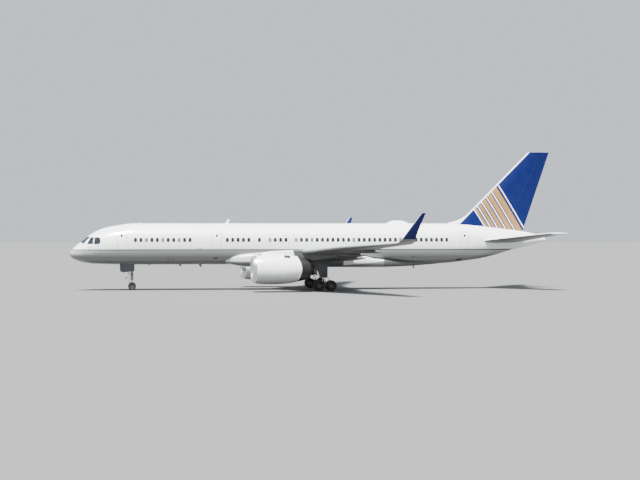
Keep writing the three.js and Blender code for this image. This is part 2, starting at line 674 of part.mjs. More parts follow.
const fanSolid = (() => {
  let fan = solid(turned(FAN_HUB_PROFILE, 12));
  for (let i = 0; i < FAN.blades; i++) {
    const angle = 2 * Math.PI * i / FAN.blades;
    const tipTurn = FAN.stagger + FAN.twist;
    fan = fan.add(blade(FAN.front, FAN.rear, FAN.root, FAN.tip, FAN.thick, FAN.stagger, tipTurn, angle));
  }
  return fan;
})();
const coreSolid = (() => {
  let core = solid(turned(CORE_PROFILE, 12));
  for (let i = 0; i < VANES.count; i++) {
    const angle = 2 * Math.PI * (i + 0.5) / VANES.count;
    core = core.add(blade(VANES.front, VANES.rear, 0.45, VANES.outer, VANES.thick, 0, 0, angle));
  }
  return core.subtract(solid(turned([
    [1.35, 0.965 - JOINT], [3.3, 1.12 - JOINT], [3.3, 1.3], [1.35, 1.3],
  ])));
})();
const PYLON = [
  // station, height: the side outline, from the front of the cowl's top round by the wing
  [17.6, 3.40], [17.9, 3.66], [18.6, 3.78], [19.6, 3.84], [21.2, 3.93], [22.6, 3.94], [24.6, 3.75], [25.6, 3.32],
  [24.6, 3.12], [22.7, 2.92], [21.2, 2.95],
];
const PYLON_WIDTH = 0.34;

for (const [side, sign] of Object.entries(SIDES)) {
  const frame = engineFrame(sign);
  const inFrame = (shape) => solid(shape.isBufferGeometry ? shape : geometryOf(shape), frame);
  place(`inlet_lip_${side}`, inFrame(turned(LIP_PROFILE.map(([x, r]) => [x === 0.45 ? x - JOINT : x, r]))), 'metal');
  place(`cowl_${side}`, inFrame(turned(COWL_PROFILE)), 'white');
  place(`nozzle_${side}`, inFrame(turned(NOZZLE_PROFILE.map(([x, r]) => [x === 4.3 ? x + JOINT : x, r]))), 'nozzle');
  place(`engine_core_${side}`, inFrame(coreSolid), 'nozzle');
  place(`fan_${side}`, inFrame(fanSolid), 'titanium');
  const nacelleSkin = inFrame(turned([
    [0, 0], ...[...LIP_PROFILE.slice(0, 4).reverse(), ...COWL_PROFILE.slice(1, 6), ...NOZZLE_PROFILE.slice(1, 3)]
      .map(([x, r]) => [x, r + JOINT]), [5.6, 0],
  ]));
  const pylon = plate(PYLON, PYLON_WIDTH, sign * ENGINE_SPAN).subtract(nacelleSkin);
  const wing = wingSolids[side];
  const around = [[0, 0, -JOIN_GAP], [0, 0, JOIN_GAP], [-JOIN_GAP, 0, 0]];
  place(`pylon_${side}`, around.reduce((left, move) => left.subtract(wing.translate(move)), pylon.subtract(wing)), 'white');
}

// Wheels: half outlines of a tyre and of an axle with two hubs, about the axle
const WHEEL_SIDES = 20;
const MAIN_WHEEL = { radius: 0.508, width: 0.368, rim: 0.2415, spacing: 0.864, axle: 0.075, wheelbase: 1.143 };
const NOSE_WHEEL = { radius: 0.394, width: 0.29, rim: 0.18, spacing: 0.62, axle: 0.06 };

function tyre({ radius, width, rim }) {
  const half = width / 2;
  const wall = radius - rim;
  const profile = [
    [-0.62 * half, rim], [-half, rim + 0.4 * wall], [-0.85 * half, radius - 0.15 * wall], [-0.45 * half, radius],
    [0.45 * half, radius], [0.85 * half, radius - 0.15 * wall], [half, rim + 0.4 * wall], [0.62 * half, rim],
  ];
  return turned(profile, WHEEL_SIDES);
}

function axleWithHubs({ rim, width, spacing, axle }) {
  const edge = rim - JOINT;
  const mid = spacing / 2;
  const half = 0.31 * width;
  const side = [
    [mid - half, axle], [mid - half, edge], [mid + half, edge], [mid + half, edge * 0.82],
    [mid + 0.4 * half, axle], [mid + 1.2 * half, axle], [mid + 1.2 * half, 0],
  ];
  const mirrored = side.map(([x, r]) => [-x, r]).reverse();
  return turned([...mirrored, ...side], WHEEL_SIDES);
}

// Half a step of turn puts a flat of the tyre's polygon on the ground, raised to rest on it
function wheelSet(prefix, wheel, station, y, axleName) {
  const flat = Math.PI / WHEEL_SIDES;
  const height = wheel.radius * Math.cos(flat);
  const turn = new THREE.Euler(0, Math.PI / 2 + flat, 0);
  const axle = place(axleName, axleWithHubs(wheel), 'gear');
  axle.position.copy(at(station, y, height));
  axle.rotation.copy(turn);
  for (const [side, sign] of Object.entries(SIDES)) {
    const rubber = place(`${prefix}_${side}`, tyre(wheel), 'rubber');
    rubber.position.copy(at(station, y + sign * wheel.spacing / 2, height));
    rubber.rotation.copy(turn);
  }
  return height;
}

// Nose gear
const noseAxle = NOSE_WHEEL.radius * Math.cos(Math.PI / WHEEL_SIDES);
wheelSet('nose_tyre', NOSE_WHEEL, AXLE_STATION_NOSE, 0, 'nose_wheel_axle');
const X_NOSE = AXLE_STATION_NOSE;
const NOSE_SPLIT = 1.42;
const TOW_LUG = { reach: 0.18, half: 0.05 };
const noseBore = bore([X_NOSE, -0.2, noseAxle], [X_NOSE, 0.2, noseAxle], NOSE_WHEEL.axle);
const fork = bar([X_NOSE, 0, noseAxle], [X_NOSE, 0, 1.0], 0.07, 0.07)
  .add(bar([X_NOSE, 0, 0.95], [X_NOSE, 0, NOSE_SPLIT - JOINT], 0.15, 0.15, 12))
  .add(bar([X_NOSE, -0.13, noseAxle], [X_NOSE, 0.13, noseAxle], 0.1, 0.1))
  .add(block([X_NOSE - TOW_LUG.reach, -TOW_LUG.half, noseAxle - TOW_LUG.half], [X_NOSE, TOW_LUG.half, noseAxle + TOW_LUG.half]))
  .add(plate([[X_NOSE - 0.05, 1.3], [X_NOSE - 0.36, 0.95], [X_NOSE - 0.05, 0.6], [X_NOSE - 0.05, 0.66],
    [X_NOSE - 0.28, 0.95], [X_NOSE - 0.05, 1.22]], 0.1))
  .subtract(noseBore);
place('nose_fork', fork, 'gear');
const noseLeg = bar([X_NOSE, 0, NOSE_SPLIT], [X_NOSE, 0, NOSE_WELL.ceiling - JOINT], 0.13, 0.13, 12)
  .add(bar([X_NOSE, 0, 1.75], [NOSE_WELL.front + 0.3, 0, NOSE_WELL.ceiling - 0.02], 0.055))
  .add(bar([X_NOSE, -NOSE_WELL.half + 0.04, NOSE_WELL.ceiling - 0.2], [X_NOSE, NOSE_WELL.half - 0.04, NOSE_WELL.ceiling - 0.2], 0.07))
  .add(bar([X_NOSE - 0.02, 0, 1.62], [X_NOSE - 0.28, 0, 1.62], 0.03))
  .add(bar([X_NOSE - 0.26, 0, 1.62], [X_NOSE - 0.34, 0, 1.62], 0.09, 0.11))
  .subtract(block([NOSE_WELL.front, -0.5, NOSE_WELL.ceiling - JOINT], [NOSE_WELL.rear, 0.5, NOSE_WELL.ceiling + 0.3]));
place('nose_leg', noseLeg, 'gear');
const NOSE_DOOR = { front: 4.76, rear: 6.18, top: 2.62, bottom: 1.72, thick: 0.04 };
for (const [side, sign] of Object.entries(SIDES)) {
  const panel = plate([
    [NOSE_DOOR.front, NOSE_DOOR.top], [NOSE_DOOR.front + 0.04, NOSE_DOOR.bottom + 0.1],
    [NOSE_DOOR.front + 0.3, NOSE_DOOR.bottom], [NOSE_DOOR.rear, NOSE_DOOR.bottom + 0.1], [NOSE_DOOR.rear, NOSE_DOOR.top],
  ], NOSE_DOOR.thick, sign * (NOSE_WELL.half - NOSE_DOOR.thick / 2 - JOINT));
  place(`nose_gear_door_${side}`, panel, 'white');
}

// Main gear on each side
const mainAxle = MAIN_WHEEL.radius * Math.cos(Math.PI / WHEEL_SIDES);
for (const [side, sign] of Object.entries(SIDES)) {
  const y = sign * GEAR_HALF_TRACK;
  const x = GEAR_STATION_MAIN;
  const half = MAIN_WHEEL.wheelbase / 2;
  let bogie = bar([x - half, y, mainAxle], [x + half, y, mainAxle], 0.12, 0.12)
    .add(bar([x, y - 0.17, mainAxle + 0.02], [x, y + 0.17, mainAxle + 0.02], 0.13));
  for (const [end, offset] of [['front', -half], ['rear', half]]) {
    wheelSet(`main_tyre_${side}_${end}`, MAIN_WHEEL, x + offset, y, `main_axle_${side}_${end}`);
    bogie = bogie.add(bar([x + offset, y - 0.16, mainAxle], [x + offset, y + 0.16, mainAxle], 0.13));
    bogie = bogie.subtract(bore([x + offset, y - 0.3, mainAxle], [x + offset, y + 0.3, mainAxle], MAIN_WHEEL.axle));
  }
  place(`bogie_${side}`, bogie, 'gear');
  const wing = wingSolids[side];
  let leg = bar([x, y, 0.7], [x, y, 1.5], 0.11, 0.11, 12)
    .add(bar([x, y, 1.35], [x, y, 3.2], 0.17, 0.17, 12))
    .add(bar([x, y, 1.75], [x, sign * 1.95, 2.62], 0.07))
    .add(bar([x, y, 1.6], [x - 1.1, sign * 3.3, 3.0], 0.065))
    .add(plate([[x - 1.2, 2.95], [x - 0.5, 1.25], [x + 0.22, 1.25], [x + 0.24, 2.95]], 0.05, y + sign * 0.32))
    .add(bar([x, y, 2.3], [x, y + sign * 0.33, 2.3], 0.05))
    .add(bar([x, y, 1.45], [x, y + sign * 0.33, 1.45], 0.05));
  leg = leg.add(bar([x, y, 0.72], [x, y, 0.62], 0.15, 0.15, 12));
  const socket = bar([x - half, y, mainAxle], [x + half, y, mainAxle], 0.12 + JOINT, 0.12 + JOINT)
    .add(bar([x, y - 0.3, mainAxle + 0.02], [x, y + 0.3, mainAxle + 0.02], 0.13 + JOINT));
  leg = leg.subtract(socket).subtract(wing).subtract(wing.translate([0, 0, -JOIN_GAP])).subtract(fairingSkin);
  place(`main_leg_${side}`, leg, 'gear');
}

export default group;
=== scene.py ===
# Twin-engine narrow-body airliner at half scale, parked on its landing gear on a pale studio floor.
import math
from bisect import bisect_right
from contextlib import contextmanager

import bpy
from mathutils import Matrix, Vector


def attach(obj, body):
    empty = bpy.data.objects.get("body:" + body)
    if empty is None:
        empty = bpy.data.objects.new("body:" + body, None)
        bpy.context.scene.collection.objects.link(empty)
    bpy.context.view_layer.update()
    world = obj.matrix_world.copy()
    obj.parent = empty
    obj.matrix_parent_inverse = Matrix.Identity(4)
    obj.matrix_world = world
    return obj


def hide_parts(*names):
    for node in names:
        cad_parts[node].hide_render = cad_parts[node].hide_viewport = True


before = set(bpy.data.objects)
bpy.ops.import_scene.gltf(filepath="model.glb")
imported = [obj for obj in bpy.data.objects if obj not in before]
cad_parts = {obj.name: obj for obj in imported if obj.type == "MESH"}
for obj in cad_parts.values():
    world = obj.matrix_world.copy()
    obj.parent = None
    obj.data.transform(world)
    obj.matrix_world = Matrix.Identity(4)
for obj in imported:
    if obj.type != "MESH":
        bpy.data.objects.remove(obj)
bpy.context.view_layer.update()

# Fuselage shell. Aluminium skin of two lobes round the cabin and the holds, riveted up in barrel sections.
# The radome is moulded on its own, and the tail cone closes the other end. Sizes are the real aircraft's, in
# metres: X aft of the nose, Y to starboard, Z above the ground.
SCALE = 0.5
LENGTH = 47.32
BODY_SIDES = 96
LOBE_SPREAD = 0.0625
RADOME_END = 1.05
RADOME_GAP = 0.004
BODY = [
    # station, bottom, top, half width
    (0.00, 3.56, 3.56, 0.00), (0.03, 3.38, 3.72, 0.22), (0.25, 3.09, 3.94, 0.56), (0.60, 2.91, 4.27, 0.87),
    (1.05, 2.745, 4.66, 1.13), (1.60, 2.63, 5.09, 1.34), (2.11, 2.56, 5.45, 1.50), (2.72, 2.53, 5.79, 1.63),
    (3.60, 2.50, 6.08, 1.76), (4.54, 2.48, 6.25, 1.83), (6.13, 2.45, 6.45, 1.88), (33.5, 2.45, 6.46, 1.88),
    (36.0, 2.47, 6.46, 1.80), (38.0, 2.65, 6.40, 1.62), (40.08, 2.94, 6.24, 1.35), (41.81, 3.34, 6.04, 1.06),
    (43.50, 3.87, 5.83, 0.78), (45.19, 4.23, 5.58, 0.50), (46.30, 4.52, 5.28, 0.30),
    (46.96, 4.72, 4.96, 0.13),
]
BODY_BY_ROOT = [(math.sqrt(row[0]), *row[1:]) for row in BODY]
NOSE_STATIONS = [0.002, 0.012, 0.03, 0.06, 0.1, 0.16, 0.25, 0.35, 0.47, 0.6, 0.75, 0.9]
BODY_STATIONS = [1.2, 1.4, 1.6, 1.85, 2.11, 2.4, 2.72, 3.1, 3.6, 4.0, 4.54, 5.1, 5.6, 6.13, 7.5, 33.5, 34.3,
                 35.2, 36.0]
TAIL_STATIONS = [37.0, 38.0, 39.0, 40.08, 41.0, 41.81, 42.6, 43.5, 44.4, 45.19, 45.8, 46.3, 46.7, 46.96]
STATIONS = [RADOME_END, *BODY_STATIONS, *TAIL_STATIONS]
SMOOTH_ANGLE = math.radians(30)


def at(x, y, z):
    """A point of the model, from metres of the real aircraft."""
    return Vector(((x - LENGTH / 2) * SCALE, y * SCALE, z * SCALE))


def smooth_row(table, x):
    """The other columns of a table at x, its first column, on a curve that never overshoots its rows."""
    places = [row[0] for row in table]
    i = max(0, min(len(table) - 2, bisect_right(places, x) - 1))
    step = places[i + 1] - places[i]
    t = max(0.0, min(1.0, (x - places[i]) / step))
    u = 1 - t

    def slope(k, column):
        before, after = ((table[j + 1][column] - table[j][column]) / (places[j + 1] - places[j])
                         for j in (max(k - 1, 0), min(k, len(table) - 2)))
        return 0.0 if before * after <= 0 else 2 * before * after / (before + after)

    values = []
    for column in range(1, len(table[0])):
        low, high = table[i][column], table[i + 1][column]
        a, b = slope(i, column) * step, slope(i + 1, column) * step
        values.append(low * u * u * (1 + 2 * t) + high * t * t * (1 + 2 * u) + a * t * u * u - b * t * t * u)
    return values


def upright(x, y, z, half_width, half_height):
    """Where a unit ring goes that stands across the aircraft."""
    return Matrix.LocRotScale(at(x, y, z), None, (1, half_width, half_height))


def skin_half_width(x, z):
    """Distance of the skin from the middle plane at a station and height, in real metres."""
    bottom, top, half = smooth_row(BODY_BY_ROOT, math.sqrt(x))
    rise = (top - bottom) / 2
    above = max(0.0, abs(z - (top + bottom) / 2) - LOBE_SPREAD * rise) / (rise * (1 - LOBE_SPREAD))
    return half * math.sqrt(max(0.0, 1 - above * above))


def take_up(*pieces):
    """Selects these pieces and nothing else, with the first of them active."""
    if bpy.context.mode != "OBJECT":
        bpy.ops.object.mode_set(mode="OBJECT")
    bpy.ops.object.select_all(action="DESELECT")
    for piece in pieces:
        piece.select_set(True)
        bpy.context.view_layer.objects.active = pieces[0]


def named(piece, name):
    piece.name = piece.data.name = name
    return piece


def new_piece(name):
    """Names the primitive that was just added and puts its place in its mesh."""
    bpy.ops.object.transform_apply(location=True, rotation=True, scale=True)
    return named(bpy.context.active_object, name)


def copy_of(piece, name):
    other = piece.copy()
    other.data = piece.data.copy()
    bpy.context.scene.collection.objects.link(other)
    return named(other, name)


def joined(name, pieces):
    take_up(*pieces)
    bpy.ops.object.join()
    return new_piece(name)


@contextmanager
def editing(piece, kind="FACE"):
    """Edit mode on a piece, with all of it selected."""
    take_up(piece)
    bpy.ops.object.mode_set(mode="EDIT")
    bpy.ops.mesh.select_mode(type=kind)
    bpy.ops.mesh.select_all(action="SELECT")
    yield
    bpy.ops.object.mode_set(mode="OBJECT")


def select_where(piece, test, kind="VERT"):
    """In edit mode, selects what passes a test of a vertex, a face or an edge's two ends."""
    bpy.ops.mesh.select_mode(type=kind)
    bpy.ops.mesh.select_all(action="DESELECT")
    bpy.ops.object.mode_set(mode="OBJECT")
    mesh = piece.data
    for part in {"VERT": mesh.vertices, "EDGE": mesh.edges, "FACE": mesh.polygons}[kind]:
        part.select = test(*(mesh.vertices[i].co for i in part.vertices)) if kind == "EDGE" else test(part)
    bpy.ops.object.mode_set(mode="EDIT")


def bevelled(piece, offset, segments, test=None):
    """Rounds a piece's edges, all of them or those that pass a test of their ends."""
    with editing(piece):
        if test:
            select_where(piece, test, "EDGE")
        bpy.ops.mesh.bevel(offset=offset, segments=segments, affect="EDGES")
    return piece


def close_up(piece, merge=1e-6):
    """Merges doubles and turns the faces outwards."""
    with editing(piece, "VERT"):
        bpy.ops.mesh.remove_doubles(threshold=merge)
        bpy.ops.mesh.normals_make_consistent(inside=False)
    return piece


def unit_ring(sides, radius=1, **place):
    """A round ring, across X unless another place is given."""
    take_up()
    place = place or {"rotation": (math.pi / 2, 0, math.pi / 2)}
    bpy.ops.mesh.primitive_circle_add(vertices=sides, radius=radius, fill_type="NOTHING", **place)
    return new_piece("ring")


def lofted(name, ring, places):
    """A closed skin over copies of a ring, one at each place, which uses the ring up."""
    rings = [copy_of(ring, name) for _ in places]
    for piece, place in zip(rings, places):
        piece.matrix_world = place
    bpy.data.objects.remove(ring)
    bpy.context.view_layer.update()
    piece = joined(name, rings)
    with editing(piece, "EDGE"):
        bpy.ops.mesh.bridge_edge_loops()
        bpy.ops.mesh.select_all(action="SELECT")
        bpy.ops.mesh.fill_holes(sides=0)
    return close_up(piece)


def body_loft(name, stations, grow=0.0):
    """The body's skin through some stations, or a skin a little outside or inside it."""
    ring = unit_ring(BODY_SIDES)
    with editing(ring, "VERT"):
        bpy.ops.transform.resize(value=(1, 1, 1 - LOBE_SPREAD), center_override=(0, 0, 0))
        for way in (1, -1):
            select_where(ring, lambda vertex: vertex.co.z * way > 0.01)
            bpy.ops.transform.translate(value=(0, 0, way * LOBE_SPREAD))
    places = []
    for x in stations:
        bottom, top, half = smooth_row(BODY_BY_ROOT, math.sqrt(x))
        rise = (top - bottom) / 2 * SCALE + grow
        places.append(upright(x, 0, (top + bottom) / 2, half * SCALE + grow, rise))
    return lofted(name, ring, places)


def cut(piece, cutter, operation="DIFFERENCE"):
    """Cuts a piece by another, or keeps what both hold; the cutter's own finish lines the cut."""
    take_up(piece)
    boolean = piece.modifiers.new("boolean", "BOOLEAN")
    boolean.operation = operation
    boolean.object = cutter
    boolean.solver = "EXACT"
    boolean.material_mode = "TRANSFER"
    bpy.ops.object.modifier_apply(modifier=boolean.name)
    return piece


def settle(piece, body, slot=None, *nodes):
    """Smooths a finished piece, hangs it on its body and hides the imported solids it stands in for."""
    take_up(piece)
    bpy.ops.object.shade_smooth_by_angle(angle=SMOOTH_ANGLE)
    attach(piece, body)
    if slot:
        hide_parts(*nodes)


class Reading:
    """A number that varies over a surface; Python's own signs on it add Math nodes."""

    def __init__(self, finish, socket):
        self.finish, self.socket = finish, socket

    def math(self, operation, *values):
        return self.finish.node("ShaderNodeMath", dict(enumerate(values)), operation=operation)

    def __add__(self, other):
        return self.math("ADD", self, other)

    def __sub__(self, other):
        return self.math("SUBTRACT", self, other)

    def __rsub__(self, other):
        return self.math("SUBTRACT", other, self)

    def __mul__(self, other):
        return self.math("MULTIPLY", self, other)

    def __truediv__(self, other):
        return self.math("DIVIDE", self, other)

    def __mod__(self, other):
        return self.math("FLOORED_MODULO", self, other)

    def __abs__(self):
        return self.math("ABSOLUTE", self)

    def least(self, other):
        return self.math("MINIMUM", self, other)

    def most(self, other):
        return self.math("MAXIMUM", self, other)

    def above(self, edge, soft=0.001):
        """1 where the number is past an edge and 0 before it, over a short ramp."""
        sockets = {"Value": self, "From Min": edge - soft, "From Max": edge + soft}
        return self.finish.node("ShaderNodeMapRange", sockets, interpolation_type="SMOOTHSTEP")

    def below(self, edge, soft=0.001):
        return 1 - self.above(edge, soft)

    def near(self, places, width, soft=0.0008):
        """1 within half a width of any of the places."""
        marks = [abs(self - place).below(width / 2, soft) for place in places]
        while len(marks) > 1:
            marks[0] = marks[0].most(marks.pop())
        return marks[0]

    def every(self, pitch, width, soft=0.0008):
        """1 on lines of a width that come again at each pitch."""
        return abs((self + pitch / 2) % pitch - pitch / 2).below(width / 2, soft)

    __radd__ = __add__
    __rmul__ = __mul__


class Finish:
    """A paint, metal, glass or rubber: a material with its shader and the surface's own coordinates."""

    def __init__(self, name, colour, roughness, metallic=0.0, coat=0.0, **constants):
        self.material = bpy.data.materials.new(name)
        self.material.use_nodes = True
        self.tree = self.material.node_tree
        self.shader = self.tree.nodes["Principled BSDF"]
        self.material.diffuse_color = (*colour, 1)
        self.colour, self.roughness = colour, roughness
        constants.update(Base_Color=colour, Roughness=roughness, Metallic=metallic, Coat_Weight=coat)
        for socket, value in constants.items():
            self.put(socket.replace("_", " "), value)
        self.place = self.node("ShaderNodeTexCoord", {}, "Object")
        self.x, self.y, self.z = (self.node("ShaderNodeSeparateXYZ", {0: self.place}, i) for i in range(3))

    @property
    def station(self):
        return self.x / SCALE + LENGTH / 2

    @property
    def height(self):
        return self.z / SCALE

    def node(self, kind, sockets, output=0, **settings):
        node = self.tree.nodes.new(kind)
        for key, value in settings.items():
            setattr(node, key, value)
        for key, value in sockets.items():
            self.join(node.inputs[key], value)
        return Reading(self, node.outputs[output])

    def join(self, socket, value):
        if isinstance(value, Reading):
            self.tree.links.new(value.socket, socket)
        elif isinstance(value, (tuple, list)) and len(value) == 3 and socket.type == "RGBA":
            socket.default_value = (*value, 1)
        else:
            socket.default_value = value

    def put(self, socket, value):
        self.join(self.shader.inputs[socket], value)

    def mix(self, mask, under, over):
        """A colour, or another where the mask is 1."""
        return self.node("ShaderNodeMix", {0: mask, 6: under, 7: over}, 2, data_type="RGBA")

    def noise(self, scale, detail=3.0, stretch=(1, 1, 1)):
        """Cloudy variation about 0.5, finer with scale, drawn out along an axis by a small stretch."""
        place = self.node("ShaderNodeMapping", {"Vector": self.place, "Scale": stretch})
        return self.node("ShaderNodeTexNoise", {"Vector": place, "Scale": scale, "Detail": detail})

    def uneven(self, scale, amount, least, detail=3.0):
        """A roughness that varies from place to place."""
        self.put("Roughness", self.noise(scale, detail) * amount + least)
        return self

    def relief(self, height, distance):
        """Raises or sinks the surface's look by a height between 0 and 1."""
        sockets = {"Height": height, "Distance": distance, "Strength": 1.0}
        self.put("Normal", self.node("ShaderNodeBump", sockets))

    def wear(self, scale, amount=0.06, dirt=None, stretch=(1, 1, 1), colour=None):
        """Uneven gloss and slight fading of the finish or a colour, and dirt where a mask is given."""
        cloud = self.noise(scale, 4.0, stretch)
        self.colour = self.mix(cloud.above(0.5, 0.18) * amount * 4, colour or self.colour, GRIME)
        if dirt is not None:
            self.colour = self.mix(dirt * cloud, self.colour, GRIME)
        self.put("Base Color", self.colour)
        self.put("Roughness", self.roughness * 0.8 + cloud * self.roughness * 0.4)
        return self

    def over(self, mask, colour):
        """Lays another colour over the finish where a mask is 1."""
        self.colour = self.mix(mask, self.colour, colour)
        self.put("Base Color", self.colour)
        return self

    def scribe(self, lines, strength, depth):
        """Marks panel lines: a dark hairline with a shallow groove."""
        self.over(lines * strength, GRIME)
        self.relief(1 - lines, depth)


WHITE = (0.84, 0.85, 0.855)
PALE_GREY = (0.34, 0.35, 0.35)
# Painted shade: the dark grey that the belly paint darkens to towards the keel, also used on the fairing's
# shaded parts.
KEEL_SHADE = (0.125, 0.13, 0.128)
GRIME = (0.20, 0.19, 0.175)
STRIPE = (0.04, 0.038, 0.032)
STRIPE_HEIGHT = 3.90
STRIPE_WIDTH = 0.10
OUTLINES = [
    # front, rear, low, high of the doors and of the exits over the wing, marked with a thin grey line
    (4.55, 5.38, 3.85, 5.66), (13.60, 14.44, 3.85, 5.66), (37.98, 38.76, 3.85, 5.62),
    (20.43, 20.93, 4.20, 5.25), (21.42, 21.92, 4.20, 5.25),
]
OUTLINE_WIDTH = 0.035
FRAME_SEAMS = 1.27
LAP_SEAMS = (2.75, 3.25, 4.25, 5.35, 5.95)
RIVET_PITCH = 0.02
RIVET_WIDTH = 0.005


def body_paint(name, seams=True):
    """White above the stripe and pale grey below it, with painted shade that darkens the grey towards the
    keel, and dirt streaks there.
    """
    paint = Finish(name, WHITE, 0.3, coat=0.5, Coat_Roughness=0.08)
    # Painted shade: the grey below the stripe darkens towards the keel.
    shade = paint.mix(paint.z.above(3.38 * SCALE, 0.28 * SCALE), KEEL_SHADE, PALE_GREY)
    colour = paint.mix(paint.z.below(STRIPE_HEIGHT * SCALE, 0.002), WHITE, shade)
    stripe = paint.z.near([STRIPE_HEIGHT * SCALE], STRIPE_WIDTH * SCALE, 0.001)
    keel = paint.z.below(2.85 * SCALE, 0.35 * SCALE)
    streaks = paint.noise(2.2, 5.0, (0.25, 1.5, 1.5)).above(0.52, 0.2)
    paint.wear(0.8, 0.012, (keel * 0.55 + 0.05) * streaks, (0.5, 1, 1), paint.mix(stripe, colour, STRIPE))
    if seams:
        laps = paint.z.near([z * SCALE for z in LAP_SEAMS], 0.003)
        lines = paint.x.every(FRAME_SEAMS * SCALE, 0.004).most(laps)
        rows = paint.z.near([z * SCALE + 0.012 for z in LAP_SEAMS], RIVET_WIDTH)
        rivets = paint.x.every(RIVET_PITCH, RIVET_WIDTH, 0.001) * rows
        paint.relief(1 - lines.most(rivets * 0.5), 0.0012)
        marks = 0.0
        edge = OUTLINE_WIDTH / 2
        for front, rear, bottom, top in OUTLINES:
            along = paint.station.above(front - edge) * paint.station.below(rear + edge)
            upward = paint.height.above(bottom - edge) * paint.height.below(top + edge)
            sides = paint.station.near([front, rear], OUTLINE_WIDTH) * upward
            marks = sides.most(paint.height.near([bottom, top], OUTLINE_WIDTH) * along) + marks
        paint.over(lines * 0.22, GRIME).over(marks.least(0.75), GRIME)
    return paint


def painted(piece, finish):
    piece.data.materials.clear()
    piece.data.materials.append(finish.material)
    return piece


skin_paint = body_paint("body_paint")
seal_rubber = Finish("seal_rubber", (0.03, 0.03, 0.032), 0.7).uneven(60.0, 0.3, 0.55)
skin = painted(body_loft("fuselage_skin", STATIONS), skin_paint)
radome = body_loft("radome_shell", [*NOSE_STATIONS, RADOME_END - RADOME_GAP])
settle(painted(radome, body_paint("radome_paint", seams=False)), "airframe", "white_paint", "radome")

# Passenger doors. Plug doors of machined aluminium under a pressed skin, six of them, each in a rubber seal.
# They move inwards before they swing, so they stay shut here. Each has a small window and a flush lever.
DOOR_SEAM = 0.006
DOOR_DEPTH = 0.08
DOOR_CORNER = 0.16
DOORS = [
    # number, front edge, rear edge, sill, top, the skin's stations about it
    (1, 4.55, 5.38, 3.85, 5.66, [3.6, 4.0, 4.54, 5.1, 5.6, 6.13]),
    (2, 13.60, 14.44, 3.85, 5.66, [13.0, 15.0]),
    (4, 37.98, 38.76, 3.85, 5.62, [37.0, 38.0, 39.0, 40.08]),
]
DOOR_PANE = (0.10, 5.12, 5.38, 0.07)
PANE_OUTER = 2.1
DOOR_LEVER = (0.26, 0.045, 0.035)
LEVER_TURN = math.radians(-40)
SIDES = (("left", -1), ("right", 1))


def slab(name, low, high, corner=0.0, finish=seal_rubber):
    """A block between two places, with its edges that run across the aircraft rounded."""
    take_up()
    low, high = at(*low), at(*high)
    bpy.ops.mesh.primitive_cube_add(size=1, location=(low + high) / 2, scale=high - low)
    piece = painted(new_piece(name), finish)
    if corner:
        bevelled(piece, corner * SCALE, 4, lambda a, b: abs((b - a).y) > 0.99 * (b - a).length)
    return piece


def side_slab(front, rear, sill, top, inner, sign, corner, finish=seal_rubber, grow=0.0, outer=2.2):
    """A block that goes through the skin on one side, from an inner half width to one well outside."""
    low, high = sorted((sign * inner, sign * outer))
    low, high = (front - grow, low, sill - grow), (rear + grow, high, top + grow)
    return slab("slab", low, high, corner + grow, finish)


def on_skin(piece, x, z, sign, out=0.0, turn=0.0):
    """Lays a small fitting on the side skin: its own X runs aft, its Z up and its -Y outwards."""
    step = 0.02
    along = (skin_half_width(x + step, z) - skin_half_width(x - step, z)) / (2 * step)
    up = (skin_half_width(x, z + step) - skin_half_width(x, z - step)) / (2 * step)
    normal = Vector((-along, sign, -up)).normalized()
    aft = Vector((1, sign * along, 0)).normalized()
    place = Matrix((aft, -normal, normal.cross(aft) * -sign)).transposed().to_4x4()
    place.translation = at(x, sign * skin_half_width(x, z), z) + normal * out * SCALE
    piece.matrix_world = place @ Matrix.Rotation(turn, 4, "Y")
    return piece


def fitting(size, corner, finish):
    """A small block at the origin with all its edges rounded."""
    take_up()
    bpy.ops.mesh.primitive_cube_add(size=1, scale=Vector(size) * SCALE)
    return bevelled(painted(new_piece("fitting"), finish), corner * SCALE, 3)


skin_cutters = []
window_cutters = []
for number, front, rear, sill, top, stations in DOORS:
    for side, sign in SIDES:
        inner = min(skin_half_width(front, top), skin_half_width(rear, top)) - DOOR_DEPTH
        door = painted(body_loft(f"passenger_door_panel_{number}_{side}", stations), skin_paint)
        panel = side_slab(front, rear, sill, top, inner, sign, DOOR_CORNER, skin_paint)
        cut(door, panel, "INTERSECT")
        bpy.data.objects.remove(panel)
        recess = side_slab(front, rear, sill, top, inner - 0.004, sign, DOOR_CORNER, grow=DOOR_SEAM)
        skin_cutters.append(recess)
        middle = (front + rear) / 2
        half, low, high, corner = DOOR_PANE
        pane_inner = skin_half_width(middle + half, 5.4) - 0.03
        pane = side_slab(middle - half, middle + half, low, high, pane_inner, sign, corner, outer=PANE_OUTER)
        window_cutters.append(pane)
        cut(door, pane)
        lever = on_skin(fitting(DOOR_LEVER, 0.014, skin_paint), middle + 0.08, 4.83, sign, 0.004, LEVER_TURN)
        door = close_up(joined(door.name, [door, lever]))
        settle(door, "airframe", "white_paint", f"passenger_door_{number}_{side}")

